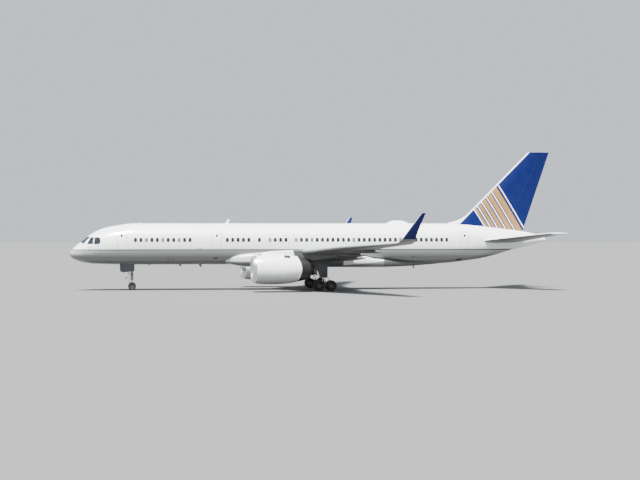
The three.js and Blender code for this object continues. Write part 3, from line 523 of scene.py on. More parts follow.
# Cabin windows. Stretched acrylic panes in forged frames, flush with the skin but for a shallow step; some
# have their pale blinds down. The same rows run along both sides, between frames half a metre apart.
WINDOW_ROWS = [
    # first window's middle, number of windows, pitch
    (6.265, 11, 0.518), (15.02, 5, 0.515), (18.105, 1, 0.5), (19.12, 4, 0.52), (21.67, 30, 0.5122),
]
WINDOW_MIDDLE = 4.85
WINDOW_SIZE = (0.30, 0.41)
WINDOW_CORNER = 0.1
WINDOW_SINK = 0.0025
BLINDS_DOWN = (7.25, 8.81, 10.37, 19.19, 21.72, 23.25, 27.33, 31.93)
half_length, half_height = WINDOW_SIZE[0] / 2, WINDOW_SIZE[1] / 2
low, high = WINDOW_MIDDLE - half_height, WINDOW_MIDDLE + half_height
for side, sign in SIDES:
    for first, count, pitch in WINDOW_ROWS:
        for i in range(count):
            x = first + i * pitch
            inner = skin_half_width(x + 0.15, WINDOW_MIDDLE + 0.2) - 0.03
            window_cutters.append(side_slab(x - half_length, x + half_length, low, high, inner, sign,
                                            WINDOW_CORNER, outer=PANE_OUTER))
glass = Finish("window_glass", (0.012, 0.015, 0.02), 0.06, Specular_IOR_Level=0.7).uneven(3.0, 0.05, 0.03)
blind = Finish("window_blind", (0.13, 0.13, 0.125), 0.25, coat=0.3, Coat_Roughness=0.04).wear(9.0)
window_holes = joined("window_holes", window_cutters)
panes = painted(body_loft("cabin_window_panes", STATIONS, -WINDOW_SINK), glass)
painted(cut(panes, window_holes, "INTERSECT"), glass)
panes.data.materials.append(blind.material)
for face in panes.data.polygons:
    station = face.center.x / SCALE + LENGTH / 2
    face.material_index = int(any(abs(station - x) < 0.2 for x in BLINDS_DOWN))
settle(panes, "airframe")

# Flight deck windows. Six thick laminated panes between slim posts, two ahead and two on each side, each
# bedded in a dark sealant edge. The two wipers park along the foot of the front panes.
PANE_SINK = 0.003
PANE_BED = 0.05
PANE_REACH = 0.3
PANE_CORNER = 0.03
FLIGHT_DECK_PANES = [
    # corners on the skin: half width and height of those in front, station and height of those at the side
    ("front", [(0.045, 4.62), (1.02, 4.45), (0.86, 5.10), (0.045, 5.16)]),
    ("side", [(1.68, 4.44), (2.25, 4.44), (2.36, 5.12), (2.05, 5.12)]),
    ("side", [(2.33, 4.44), (2.80, 4.44), (2.98, 4.62), (2.94, 5.02), (2.80, 5.12), (2.44, 5.12)]),
]
WIPER = (0.52, 0.035, 0.025)
WIPER_ENDS = ((0.16, 4.60), (0.66, 4.53))


def skin_station(y, z):
    """Station ahead of the body's widest part where the skin has a half width at a height."""
    low, high = 0.05, 6.0
    for _ in range(30):
        middle = (low + high) / 2
        low, high = (low, middle) if skin_half_width(middle, z) > y else (middle, high)
    return high


def prism(name, corners, push, finish, bevel=0.0):
    """A solid between a face with these corners and the same face pushed along."""
    mesh = bpy.data.meshes.new(name)
    mesh.from_pydata(corners, [], [range(len(corners))])
    piece = bpy.data.objects.new(name, mesh)
    bpy.context.scene.collection.objects.link(piece)
    with editing(piece):
        bpy.ops.mesh.extrude_region_move(TRANSFORM_OT_translate={"value": push})
    if bevel:
        way = Vector(push).normalized()
        bevelled(piece, bevel, 3, lambda a, b: abs((b - a).normalized().dot(way)) > 0.999)
    return painted(close_up(piece), finish)


pane_cutters = []
for side, sign in SIDES:
    for kind, outline in FLIGHT_DECK_PANES:
        corners = []
        for a, z in outline:
            x, y = (skin_station(a, z), a) if kind == "front" else (a, skin_half_width(a, z))
            corners.append(at(x, sign * y, z))
        normal = (corners[2] - corners[0]).cross(corners[3] - corners[1]).normalized()
        normal *= -1 if normal.dot(corners[0] - at(3, 0, 4)) < 0 else 1
        base = [corner - normal * PANE_BED * SCALE for corner in corners]
        reach = normal * (PANE_BED + PANE_REACH) * SCALE
        pane_cutters.append(prism("pane", base, reach, seal_rubber, PANE_CORNER))
pane_cutter = joined("pane_cutter", pane_cutters)
skin_cutters.append(pane_cutter)
flight_deck = body_loft("flight_deck_panes", [0.75, 0.9, 1.05, *BODY_STATIONS[:10]], -PANE_SINK)
settle(painted(cut(painted(flight_deck, glass), pane_cutter, "INTERSECT"), glass), "airframe")
wipers = []
for side, sign in SIDES:
    arm = fitting(WIPER, 0.008, seal_rubber)
    start, end = (at(skin_station(y, z), sign * y, z) for y, z in WIPER_ENDS)
    turn = (end - start).to_track_quat("X", "Z")
    arm.matrix_world = Matrix.LocRotScale((start + end) / 2 + Vector((-0.012, 0, 0.012)), turn, None)
    wipers.append(arm)
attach(joined("windscreen_wipers", wipers), "airframe")

# Cargo holds. Two top-hinged doors on the starboard side swing up and out on piano hinges, over holds with
# pale lining panels. Behind the skin each door has a pressed inner frame, and each opening a metal sill.
CARGO_DOORS = [
    # place, front edge, rear edge, sill, hinge height, the skin's stations about it
    ("forward", 8.72, 10.12, 2.83, 3.82, [7.5, 33.5]),
    ("aft", 31.40, 32.72, 2.83, 3.82, [30.0, 33.5]),
]
CARGO_SKIN = -0.07 * SCALE
CARGO_CORNER = 0.08
CARGO_GAP = 0.012
HOLD_WALL = -0.5
DOOR_INNER = 0.6
KNUCKLES = 5
KNUCKLE_RADIUS = 0.012
HINGE_GROOVE = 0.0144 * SCALE
RIBS = 4
RIB_HALF = 0.0225
CARGO_LATCH = (0.22, 0.05, 0.07)
PANEL_PITCH = 0.16
lining = Finish("hold_lining", (0.42, 0.43, 0.40), 0.6).wear(6.0, 0.05)
lining.scribe(lining.x.every(PANEL_PITCH, 0.004).most(lining.z.every(PANEL_PITCH, 0.004)), 0.6, 0.002)
primer = Finish("inner_primer", (0.28, 0.31, 0.22), 0.55).wear(8.0, 0.05)


def turned(name, profile, start, direction, steps, finish, closed=False):
    """A round piece about an axis, from a profile of distances along it and radii in the model's metres."""
    start, direction = Vector(start), Vector(direction).normalized()
    across = direction.orthogonal().normalized()
    points = [start + direction * along + across * radius for along, radius in profile]
    take_up()
    bpy.ops.mesh.primitive_plane_add(size=0.01, location=points[0])
    piece = new_piece(name)
    with editing(piece, "VERT"):
        bpy.ops.mesh.merge(type="CENTER")
        for a, b in zip(points, points[1:] + points[:1] * closed):
            bpy.ops.mesh.extrude_region_move(TRANSFORM_OT_translate={"value": b - a})
        bpy.ops.mesh.select_all(action="SELECT")
        bpy.ops.mesh.spin(steps=steps, angle=2 * math.pi, center=start, axis=direction)
    return painted(close_up(piece, 2e-6), finish)


def strut(start, end, radius, finish, end_radius=None, collar=0.0, steps=20):
    """A round bar between two places with softened ends, and a collar at each end where one is given."""
    start, end = at(*start), at(*end)
    length = (end - start).length
    first, last = radius * SCALE, (end_radius or radius) * SCALE
    soft = min(first, last) * 0.15
    profile = [(0, 0), (0, first - soft), (soft, first)]
    if collar:
        wide, deep = collar * SCALE, 2.2 * soft
        profile = [(0, 0), (0, wide - soft), (soft, wide), (soft + deep, wide),
                   (2 * soft + deep, wide - soft), (3 * soft + deep, first)]
    profile += [(length - along, radius - first + last) for along, radius in reversed(profile)]
    profile[-1] = (length, 0)
    return turned("strut", profile, start, end - start, steps, finish)


def body_layer(stations, grow, finish):
    return painted(body_loft("layer", stations, grow), finish)


for place, front, rear, sill, hinge, stations in CARGO_DOORS:
    hinge_y = skin_half_width(front, hinge)
    panel = side_slab(front, rear, sill, hinge - CARGO_GAP / 2, DOOR_INNER, 1, CARGO_CORNER, primer)
    door = body_layer(stations, 0.0, skin_paint)
    inner = body_layer(stations, CARGO_SKIN, primer)
    pressing = side_slab(front + 0.1, rear - 0.1, sill + 0.1, hinge - 0.12, DOOR_INNER, 1, CARGO_CORNER)
    shallow = body_layer(stations, CARGO_SKIN * 0.35, primer)
    cut(cut(door, panel, "INTERSECT"), inner)
    cut(door, painted(cut(pressing, shallow, "INTERSECT"), primer))
    start, end = at(front - CARGO_GAP, hinge_y, hinge), at(rear + CARGO_GAP, hinge_y, hinge)
    length = end.x - start.x
    groove = turned("groove", [(0, 0), (0, HINGE_GROOVE), (length, HINGE_GROOVE), (length, 0)],
                    start, end - start, 12, seal_rubber)
    door_parts, body_parts = [cut(door, groove)], []
    thick = body_layer(stations, CARGO_SKIN * 0.3, primer)
    for i in range(1, RIBS):
        x = front + 0.1 + (rear - front - 0.2) * i / RIBS
        rib = slab("rib", (x - RIB_HALF, DOOR_INNER, sill + 0.06), (x + RIB_HALF, 2.2, hinge - 0.08))
        door_parts.append(painted(cut(cut(rib, thick, "INTERSECT"), inner), primer))
    latch = fitting(CARGO_LATCH, 0.014, skin_paint)
    door_parts.append(on_skin(latch, (front + rear) / 2, sill + 0.14, 1, -0.012))
    step = (rear - front) / KNUCKLES
    for i in range(KNUCKLES):
        low, high = front + i * step + 0.003, front + (i + 1) * step - 0.003
        bottom, top = (hinge - 0.05, hinge) if i % 2 else (hinge, hinge + 0.05)
        parts = door_parts if i % 2 else body_parts
        ends = [(x, hinge_y, hinge) for x in (low, high)]
        parts.append(strut(*ends, KNUCKLE_RADIUS, skin_paint, steps=12))
        parts.append(slab("leaf", (low, hinge_y - 0.03, bottom), (high, hinge_y - 0.004, top), 0, skin_paint))
    settle(joined(f"cargo_door_panel_{place}", door_parts), f"cargo_door_body_{place}", "white_paint",
           f"cargo_door_{place}")
    settle(joined(f"cargo_hinge_{place}", body_parts), "airframe")
    hold = side_slab(front - CARGO_GAP, rear + CARGO_GAP, sill - CARGO_GAP, hinge + CARGO_GAP / 2, HOLD_WALL,
                     1, CARGO_CORNER, lining)
    skin_cutters.append(cut(hold, groove, "UNION"))
    low, high = (front + 0.02, 0.55, sill - CARGO_GAP), (rear - 0.02, 0.95, sill + 0.012)
    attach(slab(f"hold_sill_{place}", low, high, finish=primer), "airframe")
    for piece in (panel, inner, pressing, shallow, thick, groove):
        bpy.data.objects.remove(piece)

# Wing-body fairing. Composite panels screwed over the wing's centre section and the gear bays, in one long
# smooth belly that bulges ahead of the wing and tapers to a tail behind it.
FAIRING_CORNER = 0.651
FAIRING = [
    # station, bottom, top, half width
    (14.9, 2.62, 3.30, 1.20), (16.2, 2.32, 3.60, 1.90), (18.0, 2.20, 3.78, 2.08), (22.0, 2.19, 3.84, 2.14),
    (26.0, 2.17, 3.72, 2.16), (28.2, 2.14, 3.44, 2.10), (29.4, 2.14, 3.10, 1.95), (30.4, 2.15, 3.04, 1.72),
    (31.2, 2.17, 2.98, 1.45), (33.0, 2.25, 2.84, 1.12), (35.8, 2.46, 2.80, 0.70),
]
FAIRING_STATIONS = [14.9, 15.2, 15.6, 16.2, 17.0, 18.0, 20.0, 22.0, 24.0, 26.0, 27.2, 28.2, 28.8, 29.4, 29.9,
                    30.4, 30.8, 31.2, 32.0, 33.0, 34.4, 35.8]
FAIRING_PANELS = (17.0, 19.2, 20.9, 22.6, 25.6, 27.2, 29.0, 30.6)
FAIRING_SEAMS = (2.62, 3.1)
# Painted shadow and shade on the fairing: ahead of PALE_START it is painted in the wing's shadow, below a
# rising edge it is painted in shade, and behind DARK_START its whole tail is painted in shade.
FRONT_END = 21.0
PALE_START = 26.27
PALE_LOW = 2.36
PALE_RISE = 0.10
WHITE_LOW = 2.72
REAR_START = 27.8
DARK_START = 30.3
FAIRING_FRONT = (0.52, 0.53, 0.535)
FAIRING_REAR = (0.56, 0.57, 0.575)
FAIRING_TAIL_SHADE = (0.055, 0.057, 0.056)
paint = Finish("fairing_paint", (0.66, 0.67, 0.68), 0.35, coat=0.3)
streaks = paint.noise(3.0, 5.0, (0.3, 1.5, 1.5)).above(0.5, 0.2)
paint.wear(1.0, 0.02, (paint.z.below(2.5 * SCALE, 0.3 * SCALE) * 0.6 + 0.06) * streaks, colour=WHITE)
# Lower edge of the white side; below it the fairing is painted in shade.
edge = (paint.station - PALE_START) * PALE_RISE + PALE_LOW
edge = edge.most(WHITE_LOW * paint.station.below(PALE_START - 0.5, 0.2))
dark = paint.station.above(DARK_START, 0.08)
grey = (paint.height - edge).below(0, 0.06).most(dark)
paint.over(paint.station.below(FRONT_END, 1.5), FAIRING_FRONT)
paint.over(paint.station.above(REAR_START, 0.9), FAIRING_REAR)
# Painted shadow of the wing on the fairing, from FRONT_END to PALE_START.
paint.over(paint.station.below(PALE_START, 0.1) * paint.station.above(FRONT_END, 0.5), KEEL_SHADE)
# Painted shade on the underside, darker still on the tail behind DARK_START.
paint.over(grey, paint.mix(dark, KEEL_SHADE, FAIRING_TAIL_SHADE))
lines = paint.x.near([(x - LENGTH / 2) * SCALE for x in FAIRING_PANELS], 0.004)
paint.scribe(lines.most(paint.z.near([z * SCALE for z in FAIRING_SEAMS], 0.003)), 0.5, 0.0015)
take_up()
bpy.ops.mesh.primitive_plane_add(size=2, rotation=(math.pi / 2, 0, math.pi / 2))
ring = new_piece("fairing_ring")
with editing(ring, "VERT"):
    bpy.ops.mesh.bevel(offset=1, segments=18, affect="VERTICES", profile=FAIRING_CORNER)
    bpy.ops.mesh.select_all(action="SELECT")
    bpy.ops.mesh.delete(type="ONLY_FACE")
places = []
for x in FAIRING_STATIONS:
    bottom, top, half = smooth_row(FAIRING, x)
    places.append(upright(x, 0, (top + bottom) / 2, half * SCALE, (top - bottom) / 2 * SCALE))
fairing = painted(lofted("wing_body_fairing_shell", close_up(ring, 1e-4), places), paint)
settle(fairing, "airframe", "grey_paint", "wing_body_fairing")

# Wings. Aluminium boxes with bare metal slats along the front and flaps behind, closed by canoe-shaped covers
# over the flap tracks. The ailerons near the tips turn on a hinge inside a rounded nose.
FOIL_SIDES = 48
FOIL_EDGE = 0.022
WING_CAMBER = 0.104
WING = [
    # span, leading edge, chord, height of the leading edge, thickness, twist in degrees
    (1.10, 18.64, 8.90, 3.20, 0.130, 3.2), (1.88, 19.07, 8.20, 3.28, 0.128, 3.2),
    (6.90, 21.78, 5.30, 3.77, 0.115, 1.9), (12.0, 24.53, 3.80, 4.20, 0.110, 1.0),
    (18.1, 27.824, 2.00, 4.56, 0.105, 0.3), (19.02, 28.32, 1.73, 4.62, 0.105, -6.0),
]
WING_SPANS = [1.10, 1.88, 6.90, 12.0, 18.1, 18.35, 18.6, 18.82, 19.02]
AILERON = (14.55, 18.1, 0.76, 0.31, 1.2)
HINGE_GAP = 0.006
PIN_RADIUS = 0.02
FLAP_COVERS = [
    # span, front, rear, half width, depth under the wing, droop of the rear tip
    (4.90, 24.4, 28.10, 0.20, 0.34, 0.10), (7.00, 24.5, 27.93, 0.19, 0.32, 0.08),
    (10.4, 25.1, 28.77, 0.18, 0.29, 0.21),
]
COVER_SHAPE = [
    # share of the length, share of the half width, share of the depth
    (0.0, 0.25, 0.15), (0.18, 0.75, 0.65), (0.45, 1.0, 1.0), (0.75, 0.85, 0.85), (1.0, 0.12, 0.12),
]
WING_PAD = (5.0, 0.45)
WING_PAD_LOW = 2.95
PAD_RADIUS = 0.12
SLAT_SHARE = 0.11
FLAP_SHARE = 0.70
WING_RIBS = (2.4, 5.9, 7.2, 9.9, 12.6, 15.3, 18.2)
BARE_SLAT = (0.20, 0.205, 0.21)


def wing_finish(name, colour):
    """Wing paint with bare slats along the leading edge and dark lines round the panels that move."""
    paint = Finish(name, colour, 0.4)
    span = abs(paint.y) / SCALE
    lead = span * 0.54 + 18.055
    trail = (27.34 - span * 0.038).most(25.39 + span * 0.245)
    share = (paint.station - lead) / (trail - lead)
    slat = share.below(SLAT_SHARE, 0.003)
    metal = slat * share.below(0.02, 0.008)
    ribs = span.near(WING_RIBS, 0.014, 0.002) * slat.most(share.above(FLAP_SHARE, 0.002))
    lines = share.near([SLAT_SHARE, FLAP_SHARE, AILERON[2]], 0.0035).most(ribs)
    paint.wear(1.4, 0.03, paint.noise(1.6, 5.0, (0.25, 2.0, 1.0)).above(0.5, 0.2) * 0.35)
    paint.over(metal, BARE_SLAT).put("Metallic", metal * 0.6)
    paint.scribe(lines, 0.7, 0.002)
    return paint


wing_top_paint = wing_finish("wing_top_paint", (0.34, 0.35, 0.365))
# Faces that look down, the flap covers and the pad get this grey, darkened near black as painted shade under
# the wing.
wing_under_paint = wing_finish("wing_under_paint", (0.075, 0.078, 0.078))


def foil_ring(camber):
    """An aerofoil of unit chord and unit thickness, its nose at the origin, X aft and Z up."""
    step = math.pi / FOIL_SIDES
    ring = unit_ring(FOIL_SIDES, 0.5, location=(0.5, 0, 0), rotation=(math.pi / 2, step, 0))
    stretch = 1 / math.cos(step)
    with editing(ring, "VERT"):
        bpy.ops.transform.resize(value=(stretch, 1, 1), center_override=(0.5, 0, 0))
        for j in range(FOIL_SIDES // 2):
            turn = step * (2 * j + 1)
            x = max(0.0, (1 - math.cos(turn) * stretch) / 2)
            half = 0.2969 * math.sqrt(x) - 0.126 * x - 0.3516 * x ** 2 + 0.2843 * x ** 3 - 0.1036 * x ** 4
            select_where(ring, lambda vertex: abs(vertex.co.x - x) < 1e-4)
            height = max(5 * half + FOIL_EDGE * x, 1e-5)
            bpy.ops.transform.resize(value=(1, 1, height / (math.sin(turn) / 2)), center_override=(x, 0, 0))
            bpy.ops.transform.translate(value=(0, 0, camber * 4 * x * (1 - x)))
    return ring


wing_foil = foil_ring(WING_CAMBER)
plain_foil = foil_ring(0.0)


def foil_place(x, y, z, chord, thickness, twist=0.0, normal=(0, 0, 1)):
    """Where an aerofoil goes: its nose, and the way of its thickness."""
    turn = math.radians(twist)
    aft, normal = Vector((1, 0, 0)), Vector(normal)
    along = aft * math.cos(turn) - normal * math.sin(turn)
    up = aft * math.sin(turn) + normal * math.cos(turn)
    size = chord * SCALE
    place = Matrix((along * size, up.cross(along), up * size * thickness)).transposed().to_4x4()
    place.translation = at(x, y, z)
    return place


def straight_row(table, x):
    """The other columns of a table at x, on straight lines between its rows."""
    for low, high in zip(table, table[1:]):
        if x <= high[0] or high is table[-1]:
            part = (x - low[0]) / (high[0] - low[0])
            return [a + (b - a) * part for a, b in zip(low[1:], high[1:])]


def wing_middle(span, share):
    """A point of the wing's middle surface at a share of the chord, in real metres."""
    points = []
    for y, lead, chord, z, thickness, twist in WING:
        turn = math.radians(twist)
        rise = chord * WING_CAMBER * thickness * 4 * share * (1 - share)
        points.append((y, lead + chord * share * math.cos(turn), z - chord * share * math.sin(turn) + rise))
    x, z = straight_row(points, span)
    return x, span, z


def hinge_cutter(start, end, first, last, depth, finish, gap=0.0):
    """All that lies behind a hinge line, with a round nose of a radius at each end along it."""
    start, end = at(*start), at(*end)
    along = (end - start).normalized()
    aft = (Vector((1, 0, 0)) - along * along.x).normalized()
    places = []
    for middle, radius, shift in ((start, first, -gap), (end, last, gap)):
        wide = radius * SCALE + gap
        place = Matrix((aft * wide, along, along.cross(aft) * wide)).transposed().to_4x4()
        place.translation = middle + along * shift
        places.append(place)
    ring = unit_ring(40, rotation=(math.pi / 2, 0, 0))
    with editing(ring, "VERT"):
        select_where(ring, lambda vertex: vertex.co.x > 0.01)
        bpy.ops.transform.translate(value=(depth / min(first, last), 0, 0))
    return painted(lofted("hinge_cutter", ring, places), finish)


def split_hinged(surface, name, start, end, first, last, depth, finish):
    """Cuts a hinged surface out of a fixed one, in a dark recess, and gives it a pin at each end."""
    moving = copy_of(surface, name)
    for piece, gap, operation in ((moving, 0.0, "INTERSECT"), (surface, HINGE_GAP, "DIFFERENCE")):
        cutter = hinge_cutter(start, end, first, last, depth, seal_rubber if gap else finish, gap)
        cut(piece, cutter, operation)
        bpy.data.objects.remove(cutter)
    start, end = Vector(start), Vector(end)
    along = (end - start).normalized()
    reach = along * (HINGE_GAP - 0.0004) / SCALE
    pins = [strut(start + along * 0.1, start - reach, PIN_RADIUS, primer, steps=12),
            strut(end - along * 0.1, end + reach, PIN_RADIUS, primer, steps=12)]
    return joined(name, [moving, *pins])


def top_and_bottom(piece, top, under):
    """Gives the painted faces that look down a darker finish of their own, which paints their shade."""
    slots = piece.data.materials
    first = slots.find(top.material.name)
    slots.append(under.material)
    for face in piece.data.polygons:
        if face.material_index == first and face.normal.z < 0:
            face.material_index = len(slots) - 1
    return piece


def mirrored(piece, name):
    """A copy of a piece on the other side of the middle plane."""
    other = copy_of(piece, name)
    with editing(other):
        bpy.ops.transform.resize(value=(1, -1, 1), center_override=(0, 0, 0))
        bpy.ops.mesh.normals_make_consistent(inside=False)
    return other


def settle_pair(piece, node, body, slot):
    """Settles a right-hand piece and its mirror image, each on its own side's body if it moves."""
    for side, sign in SIDES:
        one = piece if sign > 0 else mirrored(piece, piece.name.replace("right", side))
        settle(one, body if body == "airframe" else f"{body}_{side}", slot, f"{node}_{side}")


places = []
for span in WING_SPANS:
    x, chord, z, thickness, twist = straight_row(WING, span) if span < 18 else smooth_row(WING, span)
    places.append(foil_place(x, span, z, chord, thickness, twist))
wing = painted(lofted("wing_skin_right", copy_of(wing_foil, "foil"), places), wing_top_paint)
*ends, chordwise, nose, depth = AILERON
noses = [straight_row(WING, span)[1] * straight_row(WING, span)[3] * nose for span in ends]
hinge = [wing_middle(span, chordwise) for span in ends]
aileron = split_hinged(wing, "aileron_skin_right", *hinge, *noses, depth, wing_under_paint)
parts = [wing]
for span, front, rear, half, deep, droop in FLAP_COVERS:
    lead, chord = straight_row(WING, span)[:2]
    places = []
    for i in range(13):
        along = (1 - math.cos(math.pi * i / 12)) / 2
        wide, low = smooth_row(COVER_SHAPE, along)
        x = front + along * (rear - front)
        share = min((x - lead) / chord, 1)
        middle = wing_middle(span, share)[2] - 0.012 - 0.0378 * (1 - share) * chord - deep * low * 0.55
        middle -= droop * max(0.0, along - 0.75) / 0.25
        places.append(upright(x, span, middle, half * wide * SCALE, deep * low * 0.62 * SCALE))
    parts.append(painted(lofted("flap_cover", unit_ring(28), places), wing_under_paint))
pad_x, pad_y, pad_z = wing_middle(*WING_PAD)
parts.append(strut((pad_x, pad_y, pad_z), (pad_x, pad_y, WING_PAD_LOW), PAD_RADIUS, wing_under_paint))
top_and_bottom(wing, wing_top_paint, wing_under_paint)
settle_pair(joined("wing_skin_right", parts), "wing", "airframe", "grey_paint")
top_and_bottom(aileron, wing_top_paint, wing_under_paint)
settle_pair(aileron, "aileron", "aileron_body", "grey_paint")

# Winglets. Each tip blends upwards in one curve to a tall swept blade, painted blue on a bare leading edge.
WINGLET = [
    # span, leading edge, chord, height, thickness, cant in degrees from level, twist
    (19.02, 28.32, 1.73, 4.62, 0.105, 5, -6.0), (19.55, 28.48, 1.42, 4.74, 0.10, 28, -6.0),
    (19.85, 28.70, 1.17, 5.00, 0.09, 55, 0.2), (20.02, 28.98, 0.98, 5.45, 0.085, 70, 0.2),
    (20.55, 30.24, 0.36, 7.22, 0.08, 76, 0.2),
]
WINGLET_SPANS = [19.02, 19.16, 19.3, 19.45, 19.58, 19.68, 19.77, 19.85, 19.91, 19.97, 20.04, 20.14, 20.28,
                 20.42, 20.55]
WINGLET_SWEEP = 0.712
WINGLET_GAP = 0.0006
WINGLET_BLUE = 5.0
BLUE = (0.0005, 0.0055, 0.068)
DULL_EDGE = (0.42, 0.43, 0.45)
WINGLET_FOOT = (0.15, 0.153, 0.155)
paint = Finish("blue_paint", BLUE, 0.4, Specular_IOR_Level=0.25).wear(2.0, 0.002)
edge = paint.station - WINGLET[3][1] - (paint.height - WINGLET[3][3]) * WINGLET_SWEEP
paint.over(edge.below(0.05, 0.01), DULL_EDGE).over(paint.height.below(WINGLET_BLUE, 0.01), WINGLET_FOOT)
places = []
for span in WINGLET_SPANS:
    x, chord, z, thickness, cant, twist = smooth_row(WINGLET, span)
    root = span == WINGLET_SPANS[0]
    lean = 0 if root else math.radians(cant)
    places.append(foil_place(x, span + WINGLET_GAP * root, z, chord, thickness, twist,
                             (0, -math.sin(lean), math.cos(lean))))
winglet = painted(lofted("winglet_blade_right", wing_foil, places), paint)
settle_pair(winglet, "winglet", "airframe", "blue_paint")

# Fin and rudder. A tall swept fin on the tail, with a low fillet running forward along the crown and a rudder
# down its rear edge. Slanted gold and white bands cross the foot of the blue.
FIN_TOP = 13.56
FIN_TRAIL = 47.32
FIN = [
    # height, leading edge, thickness
    (5.60, 36.0, 0.060), (6.40, 36.75, 0.062), (6.64, 37.62, 0.066), (6.95, 38.42, 0.072),
    (7.25, 38.86, 0.078), (7.75, 39.37, 0.086), (FIN_TOP, 45.18, 0.095),
]
FIN_HEIGHTS = [5.6, 6.0, 6.4, 6.5, 6.6, 6.7, 6.82, 6.95, 7.1, 7.25, 7.5, 7.75, 8.2, 9.5, 11.0, 12.5,
               13.4, FIN_TOP]
RUDDER = (6.05, 12.95, 0.68, 0.41, 3.2)
TAIL_CLEARANCE = 0.056
GOLD = (0.30, 0.172, 0.06)
BAND_RISE = 1.6
GOLD_BANDS = ((6.70, 0.52), (5.92, 0.42), (5.22, 0.34), (4.60, 0.26), (4.06, 0.18))
WHITE_LINES = (7.22, 6.30, 5.56, 4.90, 4.32, 3.86)
BARE_EDGE = (0.72, 0.73, 0.74)
BARE_STRIP = 0.15


def fin_chord(z):
    """The fin's leading edge with the fillet left out, and its trailing edge."""
    return 45.18 - (FIN_TOP - z), FIN_TRAIL - 0.345 * (FIN_TOP - z)


paint = Finish("fin_paint", BLUE, 0.4, Specular_IOR_Level=0.25).wear(2.0, 0.002)
across = (paint.height + (paint.station - 40) * BAND_RISE) / math.hypot(1, BAND_RISE)
for place, width in GOLD_BANDS:
    paint.over(across.near([place], width, 0.01), GOLD)
paint.over(across.near(WHITE_LINES, 0.1, 0.01), WHITE)
paint.over((paint.station - paint.height - fin_chord(0)[0]).below(BARE_STRIP, 0.01), BARE_EDGE)
places = []
for z in FIN_HEIGHTS:
    lead, thickness = smooth_row(FIN, z)
    places.append(foil_place(lead, 0, z, fin_chord(z)[1] - lead, thickness, normal=(0, 1, 0)))
fin = painted(lofted("fin_skin", copy_of(plain_foil, "foil"), places), paint)
*ends, chordwise, nose, depth = RUDDER
hinge, noses = [], []
for z in ends:
    front, rear = fin_chord(z)
    lead, thickness = straight_row(FIN, z)
    hinge.append((front + chordwise * (rear - front), 0, z))
    noses.append((rear - lead) * thickness * nose)
rudder = split_hinged(fin, "rudder_skin", *hinge, *noses, depth, paint)
tail_clear = body_layer(TAIL_STATIONS, TAIL_CLEARANCE * SCALE, seal_rubber)
settle(fin, "airframe", "blue_paint", "fin")
settle(cut(rudder, tail_clear), "rudder_body", "blue_paint", "rudder")

# Tailplanes and elevators. Swept and set low on the tail cone, white on top and painted dark grey below as
# painted shade, with a hinged elevator behind each.
TAILPLANE = [
    # span, leading edge, chord, height, thickness
    (0.35, 39.67, 4.72, 4.66, 0.105), (1.30, 40.40, 4.30, 4.77, 0.10), (7.60, 45.25, 1.85, 5.50, 0.09),
]
ELEVATOR = (1.62, 7.15, 0.70, 0.34, 1.9)
white = Finish("tailplane_white", WHITE, 0.35, coat=0.3).wear(1.5, 0.02)
# The faces that look down are painted dark grey as painted shade.
grey = Finish("tailplane_grey", (0.12, 0.124, 0.126), 0.4).wear(1.5, 0.04)
places = [foil_place(x, y, z, chord, thickness) for y, x, chord, z, thickness in TAILPLANE]
tailplane = painted(lofted("tailplane_skin_right", plain_foil, places), white)
*ends, chordwise, nose, depth = ELEVATOR
hinge, noses = [], []
for span in ends:
    lead, chord, z, thickness = straight_row(TAILPLANE, span)
    hinge.append((lead + chordwise * chord, span, z))
    noses.append(chord * thickness * nose)
elevator = cut(split_hinged(tailplane, "elevator_skin_right", *hinge, *noses, depth, white), tail_clear)
bpy.data.objects.remove(tail_clear)
settle_pair(top_and_bottom(tailplane, white, grey), "tailplane", "airframe", "white_paint")
settle_pair(top_and_bottom(elevator, white, grey), "elevator", "elevator_body", "white_paint")

# Engines. Two high-bypass turbofans hang ahead of the wings. Each has a spun aluminium inlet lip, painted
# cowl doors, a heat-stained nozzle with its tail cone, and a fan of wide titanium blades round a cone.
ENGINE_LIP = 16.95
ENGINE_SPAN = 6.5
ENGINE_HEIGHT = 2.15
ENGINE_AXIS = at(ENGINE_LIP, ENGINE_SPAN, ENGINE_HEIGHT)
COWL_STEPS = 96
CORE_STEPS = 48
LIP_LENGTH = 0.45
LIP_GAP = 0.0006
COWL_LENGTH = 4.3
OUTSIDE = [
    # distance aft of the lip, radius
    (0.0, 1.13), (0.06, 1.205), (0.22, 1.275), (0.45, 1.335), (0.9, 1.395), (1.7, 1.42), (2.6, 1.405),
    (3.5, 1.33), (4.3, 1.19),
]
INSIDE = [(0.0, 1.13), (0.04, 1.07), (0.2, 1.01), (0.45, 0.975), (1.35, 0.965), (3.3, 1.12), (4.3, 1.15)]
NOZZLE_OUTSIDE = [(4.302, 1.176), (4.6, 1.115), (4.9, 1.04), (5.2, 0.962), (5.5, 0.88)]
NOZZLE_INSIDE = [(5.5, 0.865), (4.9, 0.95), (4.3, 1.03)]
CORE = [
    (1.42, 0), (1.42, 0.30), (1.5, 0.36), (1.9, 0.52), (2.6, 0.56), (3.4, 0.56), (4.0, 0.51), (4.4, 0.44),
    (5.1, 0.26), (5.6, 0.12), (5.75, 0.04), (5.75, 0),
]
SPINNER = [
    (0.7, 0.0), (0.76, 0.1), (0.9, 0.2), (1.08, 0.285), (1.32, 0.33), (1.36, 0.16), (1.419, 0.16), (1.419, 0),
]
FAN_BLADES = 22
FAN_BLADE = [
    # middle station, radius, chord, thickness, turn in degrees
    (1.19, 0.28, 0.27, 0.045, 26), (1.18, 0.42, 0.32, 0.035, 34), (1.175, 0.6, 0.37, 0.026, 44),
    (1.175, 0.78, 0.42, 0.02, 53), (1.175, 0.94, 0.45, 0.014, 60),
]
GUIDE_VANES = 28
